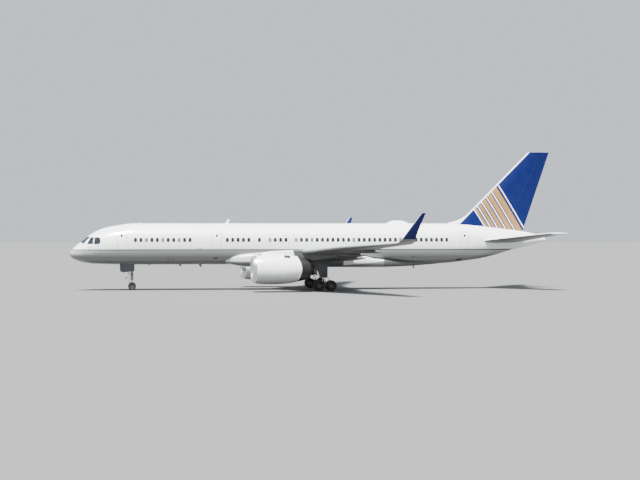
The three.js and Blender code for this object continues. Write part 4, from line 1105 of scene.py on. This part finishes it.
GUIDE_VANE = [(2.2, 0.45, 0.5, 0.04, 4), (2.25, 0.8, 0.46, 0.035, 6), (2.3, 1.03, 0.42, 0.03, 8)]
COWL_SEAMS = (0.95, 2.53, 4.12)
COWL_UNDERSIDE_SHADE = (0.30, 0.303, 0.30)
LOUVRE = (3.27, 30)
LOUVRE_SIZE = (0.58, 0.44, 0.06)
SLATS = 7
SLAT_SIZE = (0.52, 0.012, 0.05)
SLAT_PITCH = 0.056
STRAKE = ((0.55, 0), (1.45, 0), (1.5, 0.16), (1.35, 0.2), (0.9, 0.14))
DRAINS = ((1.3, 168), (1.75, 172), (2.25, 166))
LATCHES = 5
WHITE_END = 21.57
cowl_paint = Finish("cowl_paint", WHITE, 0.3, coat=0.5, Coat_Roughness=0.08)
low = cowl_paint.z.below((ENGINE_HEIGHT - 0.75) * SCALE, 0.5 * SCALE)
streaks = cowl_paint.noise(3.5, 5.0, (0.35, 1.5, 1.5)).above(0.48, 0.22)
# Painted shade: the cowl's white darkens to grey towards its underside.
base = cowl_paint.mix(cowl_paint.z.above(1.42 * SCALE, 0.42 * SCALE), COWL_UNDERSIDE_SHADE, WHITE)
cowl_paint.wear(1.5, 0.015, (low * 0.5 + 0.05) * streaks, colour=base)
split = abs(abs(cowl_paint.y) - ENGINE_SPAN * SCALE).below(0.0015, 0.0006)
split *= cowl_paint.z.below(ENGINE_HEIGHT * SCALE, 0.001)
lines = cowl_paint.x.near([(ENGINE_LIP + x - LENGTH / 2) * SCALE for x in COWL_SEAMS], 0.007)
cowl_paint.scribe(lines.most(split), 0.6, 0.002)
nozzle_paint = Finish("nozzle_paint", WHITE, 0.4)
rise = (nozzle_paint.height - ENGINE_HEIGHT) / 1.19
bare = (nozzle_paint.station + rise * rise * 0.41 - WHITE_END).above(0, 0.01)
stains = nozzle_paint.noise(5.0, 4.0, (0.3, 1, 1))
# The bare metal is painted near black: heat stains, and painted shade under the pylon and the wing.
nozzle_paint.over(bare, nozzle_paint.mix(stains, (0.036, 0.036, 0.037), (0.022, 0.022, 0.021)))
nozzle_paint.put("Metallic", bare * 0.6)
aluminium = Finish("bare_aluminium", (0.68, 0.69, 0.70), 0.28, metallic=0.95).wear(3.0, 0.03)
duct_liner = Finish("duct_liner", (0.30, 0.31, 0.33), 0.55)
duct_liner.over(duct_liner.noise(90.0, 1.0).above(0.55, 0.05) * 0.5, GRIME)
hot_metal = Finish("hot_metal", (0.135, 0.132, 0.13), 0.42, metallic=0.8).uneven(12.0, 0.2, 0.3)
heat = hot_metal.x.above((ENGINE_LIP + 5.1 - LENGTH / 2) * SCALE, 0.2)
hot_metal.over(heat * hot_metal.noise(5.0, 4.0, (0.3, 1, 1)), (0.12, 0.105, 0.095))
titanium = Finish("fan_titanium", (0.17, 0.175, 0.19), 0.3, metallic=0.9).uneven(20.0, 0.2, 0.22, 2.0)
spinner_paint = Finish("spinner_paint", (0.10, 0.105, 0.115), 0.4).wear(8.0, 0.03)


def curve(table, low, high, count):
    """Points of a profile between two places, closer together near the front."""
    rooted = [(math.sqrt(x), radius) for x, radius in table]
    a, b = math.sqrt(low), math.sqrt(high)
    roots = [a + (b - a) * i / count for i in range(count + 1)]
    return [(root * root, smooth_row(rooted, root)[0]) for root in roots]


def engine_turned(name, profile, finish, closed=True, steps=COWL_STEPS):
    """A round piece about the right engine's axis, from real metres aft of the inlet lip."""
    scaled = [(along * SCALE, radius * SCALE) for along, radius in profile]
    return turned(name, scaled, ENGINE_AXIS, (1, 0, 0), steps, finish, closed)


def round_the_engine(sections, count, start=0.0):
    """Titanium blades at even turns about the engine's axis, lofted through sections from root to tip."""
    places = []
    for x, radius, chord, thick, turn in sections:
        place = Matrix.Translation(at(ENGINE_LIP + x, ENGINE_SPAN, ENGINE_HEIGHT + radius))
        turned_place = place @ Matrix.Rotation(math.radians(turn), 4, "Z")
        places.append(turned_place @ Matrix.Diagonal((chord * SCALE, thick * SCALE, 1, 1)))
    blade = painted(lofted("blade", unit_ring(16, 0.5, rotation=(0, 0, 0)), places), titanium)
    copies = []
    for i in range(count):
        turn = Matrix.Rotation(2 * math.pi * (i + start) / count, 4, "X")
        copies.append(copy_of(blade, "blade"))
        copies[-1].matrix_world = Matrix.Translation(ENGINE_AXIS) @ turn @ Matrix.Translation(-ENGINE_AXIS)
    bpy.data.objects.remove(blade)
    return joined("blades", copies)


def on_cowl(piece, aft, turn, out=0.0, across=0.0):
    """Lays a fitting on the right cowl, turned outboard from its top: X runs aft and Z outwards."""
    step = 0.05
    before, radius, after = (curve(OUTSIDE, x, x, 1)[0][1] for x in (aft - step, aft, aft + step))
    place = Matrix.Translation(ENGINE_AXIS) @ Matrix.Rotation(-math.radians(turn), 4, "X")
    place = place @ Matrix.Translation((aft * SCALE, 0, (radius + out) * SCALE))
    place = place @ Matrix.Rotation(-math.atan((after - before) / (2 * step)), 4, "Y")
    piece.matrix_world = place @ Matrix.Translation((0, across * SCALE, 0))
    return piece


lip_end = LIP_LENGTH - LIP_GAP
lip_profile = curve(OUTSIDE, 0.0, lip_end, 14)[::-1] + curve(INSIDE, 0.0, lip_end, 14)[1:]
lip = engine_turned("inlet_lip_ring_right", lip_profile, aluminium)
inside = curve(INSIDE, LIP_LENGTH, COWL_LENGTH - 0.01, 16)[::-1]
cowl = engine_turned("cowl_shell_right", curve(OUTSIDE, LIP_LENGTH, COWL_LENGTH, 24) + inside, cowl_paint)
cowl.data.materials.append(duct_liner.material)
for face in cowl.data.polygons:
    outwards = face.center - ENGINE_AXIS
    outwards.x = 0
    face.material_index = int(face.normal.dot(outwards) < 0)
parts = [cowl, on_cowl(fitting(LOUVRE_SIZE, 0.02, seal_rubber), *LOUVRE, -0.005)]
for i in range(SLATS):
    slat = fitting(SLAT_SIZE, 0.005, seal_rubber)
    parts.append(on_cowl(slat, *LOUVRE, 0.016, (i - SLATS // 2) * SLAT_PITCH))
strake = prism("strake", [at(LENGTH / 2 + x - 1.0, 0, z) for x, z in STRAKE], (0, 0.012, 0), cowl_paint)
parts.append(on_cowl(strake, 1.0, -38, -0.02))
parts.append(on_cowl(fitting((0.36, 0.20, 0.08), 0.03, seal_rubber), 0.72, 14, 0.01))
for aft, turn in DRAINS:
    parts.append(on_cowl(fitting((0.12, 0.05, 0.06), 0.02, seal_rubber), aft, turn, 0.005))
for i in range(LATCHES):
    parts.append(on_cowl(fitting((0.16, 0.07, 0.02), 0.008, aluminium), 1.05 + i * 0.62, 180, 0.002))
cowl = joined("cowl_shell_right", parts)
nozzle = engine_turned("nozzle_ring_right", NOZZLE_OUTSIDE + NOZZLE_INSIDE, nozzle_paint)
core = engine_turned("core", CORE, hot_metal, False, CORE_STEPS)
core = joined("engine_core_body_right", [core, round_the_engine(GUIDE_VANE, GUIDE_VANES, 0.5)])
spinner = engine_turned("spinner", SPINNER, spinner_paint, False, CORE_STEPS)
fan = joined("fan_rotor_right", [round_the_engine(FAN_BLADE, FAN_BLADES), spinner])
settle_pair(lip, "inlet_lip", "airframe", "bare_aluminium")
settle_pair(cowl, "cowl", "airframe", "white_paint")
settle_pair(nozzle, "nozzle", "airframe", "hot_metal")
settle_pair(core, "engine_core", "airframe", "hot_metal")
settle_pair(fan, "fan", "fan_rotor", "fan_titanium")

# Pylons. A painted box beam carries each engine out ahead of the wing, and its front and rear covers fair it
# into the cowl and under the wing.
PYLON = [
    (17.6, 3.40), (17.9, 3.66), (18.6, 3.78), (19.6, 3.84), (21.2, 3.93), (22.6, 3.94), (24.6, 3.75),
    (25.6, 3.32), (24.6, 3.12), (22.7, 2.92), (21.2, 2.95),
]
PYLON_WIDTH = 0.34
PYLON_CORNER = 0.11
PYLON_WHITE_END = (20.85, 3.8, 0.25)
PYLON_AFT_GREY_AND_SHADE = (0.05, 0.052, 0.052)
paint = Finish("pylon_paint", WHITE, 0.35, coat=0.3).wear(1.5, 0.015)
end, height, slant = PYLON_WHITE_END
# Behind the white front the pylon is grey paint, darkened near black as painted shade under the wing.
paint.over((paint.station - end + (paint.height - height) * slant).above(0, 0.01), PYLON_AFT_GREY_AND_SHADE)
outline = [at(x, ENGINE_SPAN - PYLON_WIDTH / 2, z) for x, z in PYLON]
pylon = prism("pylon_cover_right", outline, (0, PYLON_WIDTH * SCALE, 0), paint)
bevelled(pylon, PYLON_CORNER * SCALE, 5, lambda a, b: abs(a.y - b.y) < 1e-5)
profile = [(x, radius + 0.001) for x, radius in curve(OUTSIDE, 0.0, COWL_LENGTH, 24) + NOZZLE_OUTSIDE[1:]]
nacelle = engine_turned("nacelle_space", [*profile, (5.5, 0)], paint, closed=False)
with editing(nacelle):
    bpy.ops.mesh.fill_holes(sides=0)
cut(pylon, close_up(nacelle))
bpy.data.objects.remove(nacelle)
settle_pair(pylon, "pylon", "airframe", "white_paint")

# Wheels. Bias-ply tyres with four tread grooves on forged aluminium hubs, two on the nose axle and four on
# each main bogie. Each tyre stands on the floor and turns with its axle.
NOSE_WHEEL = (0.38915, 0.29, 0.18, 0.62, 0.06)
MAIN_WHEEL = (0.50175, 0.368, 0.2415, 0.864, 0.075)
TYRE_SHAPE = [
    # share of the half width, share of the wall's height
    (0.62, 0.0), (0.80, 0.06), (0.95, 0.22), (1.0, 0.42), (0.985, 0.60), (0.93, 0.77), (0.84, 0.89),
    (0.70, 0.962), (0.60, 0.98), (0.585, 0.93), (0.515, 0.93), (0.50, 0.988), (0.24, 0.999),
    (0.225, 0.945), (0.155, 0.945), (0.14, 1.0),
]
HUB_SHAPE = [
    # share of the width, share of the rim
    (-0.31, 0.86), (-0.31, 0.985), (0.31, 0.985), (0.33, 0.93), (0.25, 0.88), (0.12, 0.82), (0.07, 0.62),
    (0.13, 0.47), (0.20, 0.42), (0.21, 0.36),
]
HUB_BOLTS = 10
rubber = Finish("tyre_rubber", (0.022, 0.022, 0.024), 0.75).uneven(40.0, 0.2, 0.65)
rubber.over(rubber.noise(9.0, 4.0).above(0.5, 0.2) * 0.4, (0.075, 0.07, 0.063))
rubber.relief(rubber.noise(150.0, 2.0), 0.0006)
# The gear's enamel is a grey darkened as painted shade under the body and wings; its blotches are dirt.
enamel = Finish("gear_enamel", (0.24, 0.245, 0.25), 0.4, coat=0.2)
enamel.wear(7.0, 0.05, enamel.noise(11.0, 4.0).above(0.56, 0.08) * 0.5)
# The hubs' dark grey is brake dust and painted shade under the body and wings.
hub_grey = Finish("hub_grey", (0.13, 0.13, 0.127), 0.45)
hub_grey.wear(9.0, 0.06, hub_grey.noise(14.0, 4.0).above(0.5, 0.1) * 0.5)
chrome = Finish("piston_chrome", (0.60, 0.60, 0.62), 0.12, metallic=1.0).uneven(30.0, 0.12, 0.08)
brake_metal = Finish("brake_metal", (0.12, 0.115, 0.11), 0.5, metallic=0.7).wear(12.0, 0.1)


def pin(x, y, z, half, radius, finish=brake_metal, steps=16, **more):
    """A bar that lies across the aircraft, to both sides of a point."""
    return strut((x, y - half, z), (x, y + half, z), radius, finish, steps=steps, **more)


def wheel_set(name, wheel, x, y, body, node, tyre_nodes):
    """An axle with two hubs, and the two tyres on it, each settled as a piece."""
    radius, width, rim, spacing, axle = wheel
    outline = [(share * width / 2, rim + rise * (radius - rim)) for share, rise in TYRE_SHAPE]
    outline += [(-along, height) for along, height in reversed(outline)]
    tyre_profile = [(along * SCALE, height * SCALE) for along, height in outline]
    hub_profile = [(along * width * SCALE, height * rim * SCALE) for along, height in HUB_SHAPE]
    hub_profile = [(hub_profile[0][0], axle * SCALE), *hub_profile, (hub_profile[-1][0], axle * SCALE)]
    parts = [pin(x, y, radius, spacing / 2 + 0.24 * width, axle * 0.995, steps=20)]
    for out, (tyre_name, tyre_node) in zip((-1, 1), tyre_nodes):
        middle = at(x, y + out * spacing / 2, radius)
        tyre = turned(tyre_name, tyre_profile, middle, (0, out, 0), 80, rubber, closed=True)
        settle(tyre, body, "tyre_rubber", tyre_node)
        parts.append(turned("hub", hub_profile, middle, (0, out, 0), 48, hub_grey, closed=True))
        face = y + out * (spacing / 2 + 0.06 * width)
        for i in range(HUB_BOLTS):
            turn = 2 * math.pi * i / HUB_BOLTS
            bolt_x, bolt_z = x + 0.70 * rim * math.cos(turn), radius + 0.70 * rim * math.sin(turn)
            ends = [(bolt_x, face + out * reach, bolt_z) for reach in (-0.01, 0.035)]
            parts.append(strut(*ends, 0.016, brake_metal, steps=6))
        cap = y + out * (spacing / 2 + 0.2 * width)
        ends = [(x, cap + out * reach, radius) for reach in (-0.02, 0.05)]
        parts.append(strut(*ends, rim * 0.34, hub_grey, steps=24))
    settle(joined(f"{name}_axle", parts), body, "gear_enamel", node)


NOSE_GEAR_X = 5.94
MAIN_GEAR_X = 24.23
MAIN_GEAR_Y = 3.66
BOGIE_HALF = 0.5715
wheel_set("nose_wheel", NOSE_WHEEL, NOSE_GEAR_X, 0, "nose_wheels", "nose_wheel_axle",
          [(f"nose_wheel_tyre_{side}", f"nose_tyre_{side}") for side, _ in SIDES])
for side, sign in SIDES:
    for end, way in (("front", -1), ("rear", 1)):
        place = f"{side}_{end}"
        wheel_set(f"main_wheel_{place}", MAIN_WHEEL, MAIN_GEAR_X + way * BOGIE_HALF, sign * MAIN_GEAR_Y,
                  f"main_wheels_{place}", f"main_axle_{place}",
                  [(f"main_wheel_tyre_{place}_{hand}", f"main_tyre_{place}_{hand}") for hand, _ in SIDES])

# Nose gear. A steerable oleo leg in an open well between two hanging doors. The chromed piston, its collar,
# the torque links and the tow fitting steer with the wheels; the lamps and the drag brace stay with the leg.
NOSE_SPLIT = 1.42
NOSE_WELL = (4.72, 6.22, 0.42, 3.05)
NOSE_DOOR = [(4.76, 2.62), (4.80, 1.82), (5.06, 1.72), (6.18, 1.82), (6.18, 2.62)]
NOSE_DOOR_THICK = 0.04
DOOR_SHEET = 0.016
LINK_HEIGHTS = (1.27, 0.63)
LINK_APEX = (0.325, 0.95)
# The gear doors' belly grey is painted near black as painted shade under the body and wings.
gear_door_shade = Finish("gear_door_paint", (0.055, 0.059, 0.067), 0.4, coat=0.1).wear(3.0, 0.02)
lamp_glass = Finish("lamp_glass", (0.85, 0.87, 0.88), 0.08, coat=0.8, Coat_Roughness=0.03)
lamp_glass.uneven(60.0, 0.1, 0.04, 1.0)
lamp_glass.relief(lamp_glass.noise(60.0, 1.0), 0.001)


def post(x, y, start, end, radius, finish=enamel, **more):
    """An upright bar between two heights."""
    return strut((x, y, start), (x, y, end), radius, finish, **more)


def lamp(x, y, z, radius, deep):
    """A sealed-beam lamp: a tapered bowl with a clear face in a rim."""
    def disc(front, rear, radius, finish, end_radius=None):
        return strut((x + front, y, z), (x + rear, y, z), radius, finish, end_radius, steps=28)

    return [disc(0, deep, radius, enamel, radius * 0.55), disc(-0.012, 0.03, radius * 1.1, chrome),
            disc(-0.022, -0.008, radius * 0.95, lamp_glass)]


x, low = NOSE_GEAR_X, NOSE_WHEEL[0]
apex_x, apex_z = x - LINK_APEX[0], LINK_APEX[1]
parts = [
    post(x, 0, low, 1.0, 0.068, chrome, steps=28),
    post(x, 0, 0.95, NOSE_SPLIT - 0.001, 0.128, collar=0.15, steps=32),
    pin(x, 0, low, 0.13, 0.09, enamel, 28, collar=0.1),
    slab("tow_lug", (x - 0.18, -0.045, low - 0.04), (x, 0.045, low + 0.04), 0.035, enamel),
    pin(apex_x, 0, apex_z, 0.055, 0.025),
]
for z in LINK_HEIGHTS:
    for out in (-1, 1):
        ends = (x - 0.09, out * 0.07, z), (apex_x, out * 0.03, apex_z)
        parts.append(strut(*ends, 0.028, enamel, 0.022, steps=14))
    parts.append(pin(x - 0.09, 0, z, 0.1, 0.028))
    parts.append(slab("lug", (x - 0.12, -0.05, z - 0.04), (x, 0.05, z + 0.04), 0.02, enamel))
settle(joined("nose_fork_assembly", parts), "nose_steering_body", "gear_enamel", "nose_fork")
front, rear, half, ceiling = NOSE_WELL
parts = [
    post(x, 0, NOSE_SPLIT, ceiling - 0.001, 0.112, collar=0.13, steps=32),
    strut((x, 0, 1.75), (front + 0.3, 0, ceiling - 0.03), 0.05, enamel, collar=0.065),
    pin(x, 0, ceiling - 0.2, half - 0.04, 0.055, enamel, 20, collar=0.07),
    strut((x - 0.1, -0.17, 1.50), (x + 0.13, -0.17, 1.50), 0.04, brake_metal),
    strut((x - 0.1, 0.17, 1.50), (x + 0.13, 0.17, 1.50), 0.04, brake_metal),
    pin(x, 0, 1.50, 0.17, 0.035, enamel, 20),
    strut((x - 0.08, 0, 1.62), (x - 0.28, 0, 1.62), 0.03, enamel),
    pin(x - 0.26, 0, 1.62, 0.15, 0.022, enamel, 20),
    strut((x - 0.1, 0, 1.47), (x - 0.52, 0, 1.22), 0.026, enamel),
    post(x - 0.06, -0.12, 1.45, 2.9, 0.012, seal_rubber, steps=8),
    post(x + 0.06, 0.12, 1.45, 2.9, 0.012, seal_rubber, steps=8),
    *lamp(x - 0.36, -0.11, 1.62, 0.09, 0.1),
    *lamp(x - 0.36, 0.11, 1.62, 0.09, 0.1),
    *lamp(x - 0.62, 0, 1.17, 0.1, 0.12),
]
settle(joined("nose_leg_assembly", parts), "airframe", "gear_enamel", "nose_leg")
for side, sign in SIDES:
    outer = sign * (half - 0.0006)
    outline = [at(a, outer, b) for a, b in NOSE_DOOR]
    sheet = prism("sheet", outline, (0, -sign * DOOR_SHEET * SCALE, 0), gear_door_shade)
    inside = [(a + (0.05 if a < 5 else -0.05 if a > 6 else 0), b + (0.05 if b < 2 else -0.05))
              for a, b in NOSE_DOOR]
    pan = prism("pan", [at(a, outer - sign * 0.014, b) for a, b in inside],
                (0, -sign * (NOSE_DOOR_THICK - 0.014) * SCALE, 0), primer)
    with editing(pan):
        select_where(pan, lambda face: face.normal.y * sign < -0.9, "FACE")
        bpy.ops.mesh.inset(thickness=0.03 * SCALE)
        bpy.ops.transform.translate(value=(0, sign * 0.018 * SCALE, 0))
    parts = [sheet, pan]
    near, far = sorted((outer, outer - sign * 0.04))
    for a in (4.95, 5.5, 6.0):
        parts.append(slab("hinge_arm", (a - 0.03, near, 2.40), (a + 0.03, far, 2.61), 0.01, primer))
    settle(joined(f"nose_gear_door_panel_{side}", parts), "airframe", "white_paint", f"nose_gear_door_{side}")
skin_cutters.append(slab("nose_well", (front, -half, 2.2), (rear, half, ceiling), finish=primer))

# Main gear. Each leg carries a four-wheel bogie on a chromed piston, with brakes on both axles, braces
# running up into the wing and the body, and a fixed door panel outboard.
MAIN_DOOR = [(-1.2, 2.95), (-0.5, 1.25), (0.22, 1.25), (0.24, 2.95)]
MAIN_DOOR_OUT = 0.345
BEAM = [
    (0, 0), (0, 0.09), (0.02, 0.105), (0.3, 0.11), (0.5715, 0.135), (0.843, 0.11), (1.123, 0.105),
    (1.143, 0.09), (1.143, 0),
]
BRAKE_PISTONS = 8
x, y, low = MAIN_GEAR_X, MAIN_GEAR_Y, MAIN_WHEEL[0]
beam = [(a * SCALE, b * SCALE) for a, b in BEAM]
parts = [
    turned("beam", beam, at(x - BOGIE_HALF, y, low), (1, 0, 0), 28, enamel),
    pin(x, y, low + 0.02, 0.17, 0.115, enamel, 28, collar=0.13),
]
for axle_x in (x - BOGIE_HALF, x + BOGIE_HALF):
    parts.append(pin(axle_x, y, low, 0.165, 0.11, enamel, 28, collar=0.13))
    for out in (-1, 1):
        near, far = y + out * 0.165, y + out * 0.225
        parts.append(strut((axle_x, near, low), (axle_x, far, low), 0.2, brake_metal, steps=36))
        for i in range(BRAKE_PISTONS):
            turn = 2 * math.pi * i / BRAKE_PISTONS
            px, pz = axle_x + 0.15 * math.cos(turn), low + 0.15 * math.sin(turn)
            ends = [(px, near + out * reach, pz) for reach in (-0.03, 0.01)]
            parts.append(strut(*ends, 0.025, enamel, steps=10))
for rod_y in (y - 0.13, y + 0.13):
    ends = [(x + reach, rod_y, low - 0.16) for reach in (-BOGIE_HALF, BOGIE_HALF)]
    parts.append(strut(*ends, 0.02, chrome, steps=12))
settle_pair(joined("bogie_truck_right", parts), "bogie", "airframe", "gear_enamel")
parts = [
    post(x, y, 0.66, 1.5, 0.098, chrome, steps=32),
    post(x, y, 0.62, 0.82, 0.14, collar=0.15, steps=32),
    post(x, y, 1.35, 3.2, 0.15, collar=0.17, steps=36),
    strut((x, y, 1.75), (x, 1.95, 2.62), 0.06, enamel, collar=0.07),
    strut((x, y, 1.6), (x - 1.1, 3.3, 3.0), 0.055, enamel, collar=0.065),
    strut((x + 0.1, y - 0.05, 2.1), (x + 0.12, 2.6, 2.9), 0.05, chrome),
    strut((x, y, 2.3), (x, y + 0.3, 2.3), 0.04, enamel),
    strut((x, y, 1.45), (x, y + 0.3, 1.45), 0.04, enamel),
    strut((x - 0.12, y, 1.3), (x - 0.34, y, low + 0.12), 0.035, chrome, 0.03, collar=0.045),
    pin(x + 0.42, y, 1.06, 0.07, 0.03),
    post(x - 0.12, y + 0.14, 1.4, 2.9, 0.014, seal_rubber, steps=8),
    post(x + 0.14, y - 0.12, 1.4, 2.9, 0.014, seal_rubber, steps=8),
]
for z in (1.42, 0.74):
    for out in (-1, 1):
        ends = (x + 0.14, y + out * 0.09, z), (x + 0.42, y + out * 0.035, 1.06)
        parts.append(strut(*ends, 0.034, enamel, 0.026, steps=14))
    parts.append(pin(x + 0.14, y, z, 0.12, 0.032))
panel_y = y + MAIN_DOOR_OUT
outline = [at(x + a, panel_y, b) for a, b in MAIN_DOOR]
panel = prism("panel", outline, (0, -0.05 * SCALE, 0), gear_door_shade)
with editing(panel):
    select_where(panel, lambda face: face.normal.y < -0.9, "FACE")
    bpy.ops.mesh.inset(thickness=0.05 * SCALE)
    bpy.ops.transform.translate(value=(0, 0.03 * SCALE, 0))
bevelled(panel, 0.012 * SCALE, 2, lambda *ends: all(abs(end.y - panel_y * SCALE) < 1e-5 for end in ends))
settle_pair(joined("main_leg_assembly_right", [*parts, panel]), "main_leg", "airframe", "gear_enamel")

skin_cutters.append(window_holes)
cutter = joined("cutter", skin_cutters)
cut(skin, cutter)
bpy.data.objects.remove(cutter)
settle(skin, "airframe", "white_paint", "fuselage_forward", "fuselage_aft", "tail_cone")

# Antennas and skin fittings. A low composite dome and a blade antenna on the crown, small blades under the
# belly, vents, probes and beacons, all screwed to the skin, and the exhaust ring in the tail cone's end.
DOME = [
    # station, top, half width
    (30.75, 6.44, 0.10), (31.10, 6.62, 0.28), (31.60, 6.74, 0.42), (32.20, 6.74, 0.42), (32.75, 6.62, 0.28),
    (33.05, 6.44, 0.10),
]
DOME_BASE = 6.3
DOME_STEPS = 24
BLADES = [
    # half thickness, and corners of each blade antenna's side
    (0.015, (14.88, 6.40), (15.18, 6.86), (15.36, 6.86), (15.26, 6.40)),
    (0.012, (6.70, 6.42), (6.76, 6.52), (6.86, 6.52), (6.90, 6.42)),
    (0.012, (12.30, 2.50), (12.52, 2.20), (12.66, 2.20), (12.62, 2.50)),
    (0.012, (10.40, 2.50), (10.55, 2.26), (10.68, 2.26), (10.66, 2.50)),
    (0.012, (33.40, 2.40), (33.52, 2.02), (33.62, 2.02), (33.62, 2.40)),
]
VENTS = [
    # station, height, length and height of each vent, on both sides
    (5.53, 5.05, 0.10, 0.10), (14.57, 5.05, 0.10, 0.10), (12.40, 4.05, 0.10, 0.12), (13.90, 3.10, 0.42, 0.16),
    (9.40, 3.02, 0.24, 0.10), (9.86, 2.94, 0.10, 0.12), (33.24, 3.17, 0.22, 0.08),
]
OUTFLOW = (37.95, 2.90, 0.60, 0.30)
PROBES = [(1.50, 3.70), (1.95, 4.12), (2.55, 3.62), (2.95, 3.86)]
PROBE_PARTS = [
    # size, corner and height over the skin of the foot, the stem and the tube
    ((0.12, 0.03, 0.05), 0.01, 0.0), ((0.05, 0.12, 0.02), 0.006, 0.05), ((0.20, 0.022, 0.022), 0.009, 0.11),
]
BEACONS = [((20.6, 0, 6.455), (0, 0, 1)), ((18.9, 0, 2.215), (0, 0, -1))]
BEACON_SHAPE = [(0, 0), (0, 0.05), (0.012, 0.05), (0.016, 0.042), (0.034, 0.036), (0.046, 0.02), (0.05, 0)]
EXHAUST = (46.9, 0, 4.84)
EXHAUST_SHAPE = [(0, 0.04), (0, 0.052), (0.055, 0.05), (0.055, 0.043), (0.034, 0.041), (0.034, 0)]
NOSE_PAD_X = 7.6
places = []
for i in range(DOME_STEPS + 1):
    x = DOME[0][0] + (DOME[-1][0] - DOME[0][0]) * (1 - math.cos(math.pi * i / DOME_STEPS)) / 2
    top, half = smooth_row(DOME, x)
    places.append(upright(x, 0, DOME_BASE, half * SCALE, (top - DOME_BASE) * SCALE))
settle(painted(lofted("crown_dome", unit_ring(40), places), skin_paint), "airframe")
parts = []
for half, *corners in BLADES:
    outline = [at(x, -half, z) for x, z in corners]
    parts.append(prism("blade", outline, (0, 2 * half * SCALE, 0), skin_paint, 0.004))
settle(joined("blade_antennas", parts), "airframe")
parts = []
for side, sign in SIDES:
    for x, z, length, height in [*VENTS, OUTFLOW] if sign < 0 else VENTS:
        parts.append(on_skin(fitting((length, 0.03, height), 0.012, seal_rubber), x, z, sign, -0.005))
    for x, z in PROBES:
        for size, corner, out in PROBE_PARTS:
            parts.append(on_skin(fitting(size, corner, brake_metal), x, z, sign, out))
        parts[-1].matrix_world = parts[-1].matrix_world @ Matrix.Translation((-0.04, 0, 0))
settle(joined("vents_and_probes", parts), "airframe")
beacon_glass = Finish("beacon_glass", (0.30, 0.012, 0.01), 0.08, coat=0.6).uneven(30.0, 0.08, 0.04)
parts = [turned("beacon", BEACON_SHAPE, at(*place), way, 24, beacon_glass) for place, way in BEACONS]
settle(joined("beacons", parts), "airframe")
pad_low = BODY[10][1]
pad = post(NOSE_PAD_X, 0, pad_low + 0.2, pad_low - 0.05, PAD_RADIUS, skin_paint)
settle(named(pad, "nose_jack_pad"), "airframe")
settle(turned("tail_exhaust", EXHAUST_SHAPE, at(*EXHAUST), (1, 0, 0), 32, hot_metal), "airframe")

# Studio. A plain pale floor, a soft key light from above the camera's left and a pale surround.
CAMERA_PLACE = (-8.975, -71.2, 2.825)
CAMERA_TURN = (math.radians(90 - 0.33), 0, math.radians(-7.41))
CAMERA_LENS = 82.35
SUN_TURN = (math.radians(21), math.radians(-7), math.radians(-8))
take_up()
bpy.ops.mesh.primitive_plane_add(size=600, location=(0, 0, 0))
floor_paint = Finish("floor_paint", (0.115, 0.115, 0.113), 0.85)
painted(new_piece("studio_floor"), floor_paint)
bpy.ops.object.camera_add(location=CAMERA_PLACE, rotation=CAMERA_TURN)
camera = bpy.context.active_object
camera.data.lens = CAMERA_LENS
camera.data.sensor_width = 36
camera.data.clip_end = 2000
bpy.context.scene.camera = camera
bpy.ops.object.light_add(type="SUN", rotation=SUN_TURN)
key = bpy.context.active_object
key.data.energy = 21
key.data.angle = math.radians(14)
world = bpy.context.scene.world or bpy.data.worlds.new("studio")
bpy.context.scene.world = world
world.use_nodes = True
background = world.node_tree.nodes["Background"]
background.inputs["Color"].default_value = (0.80, 0.86, 0.94, 1)
background.inputs["Strength"].default_value = 1.0
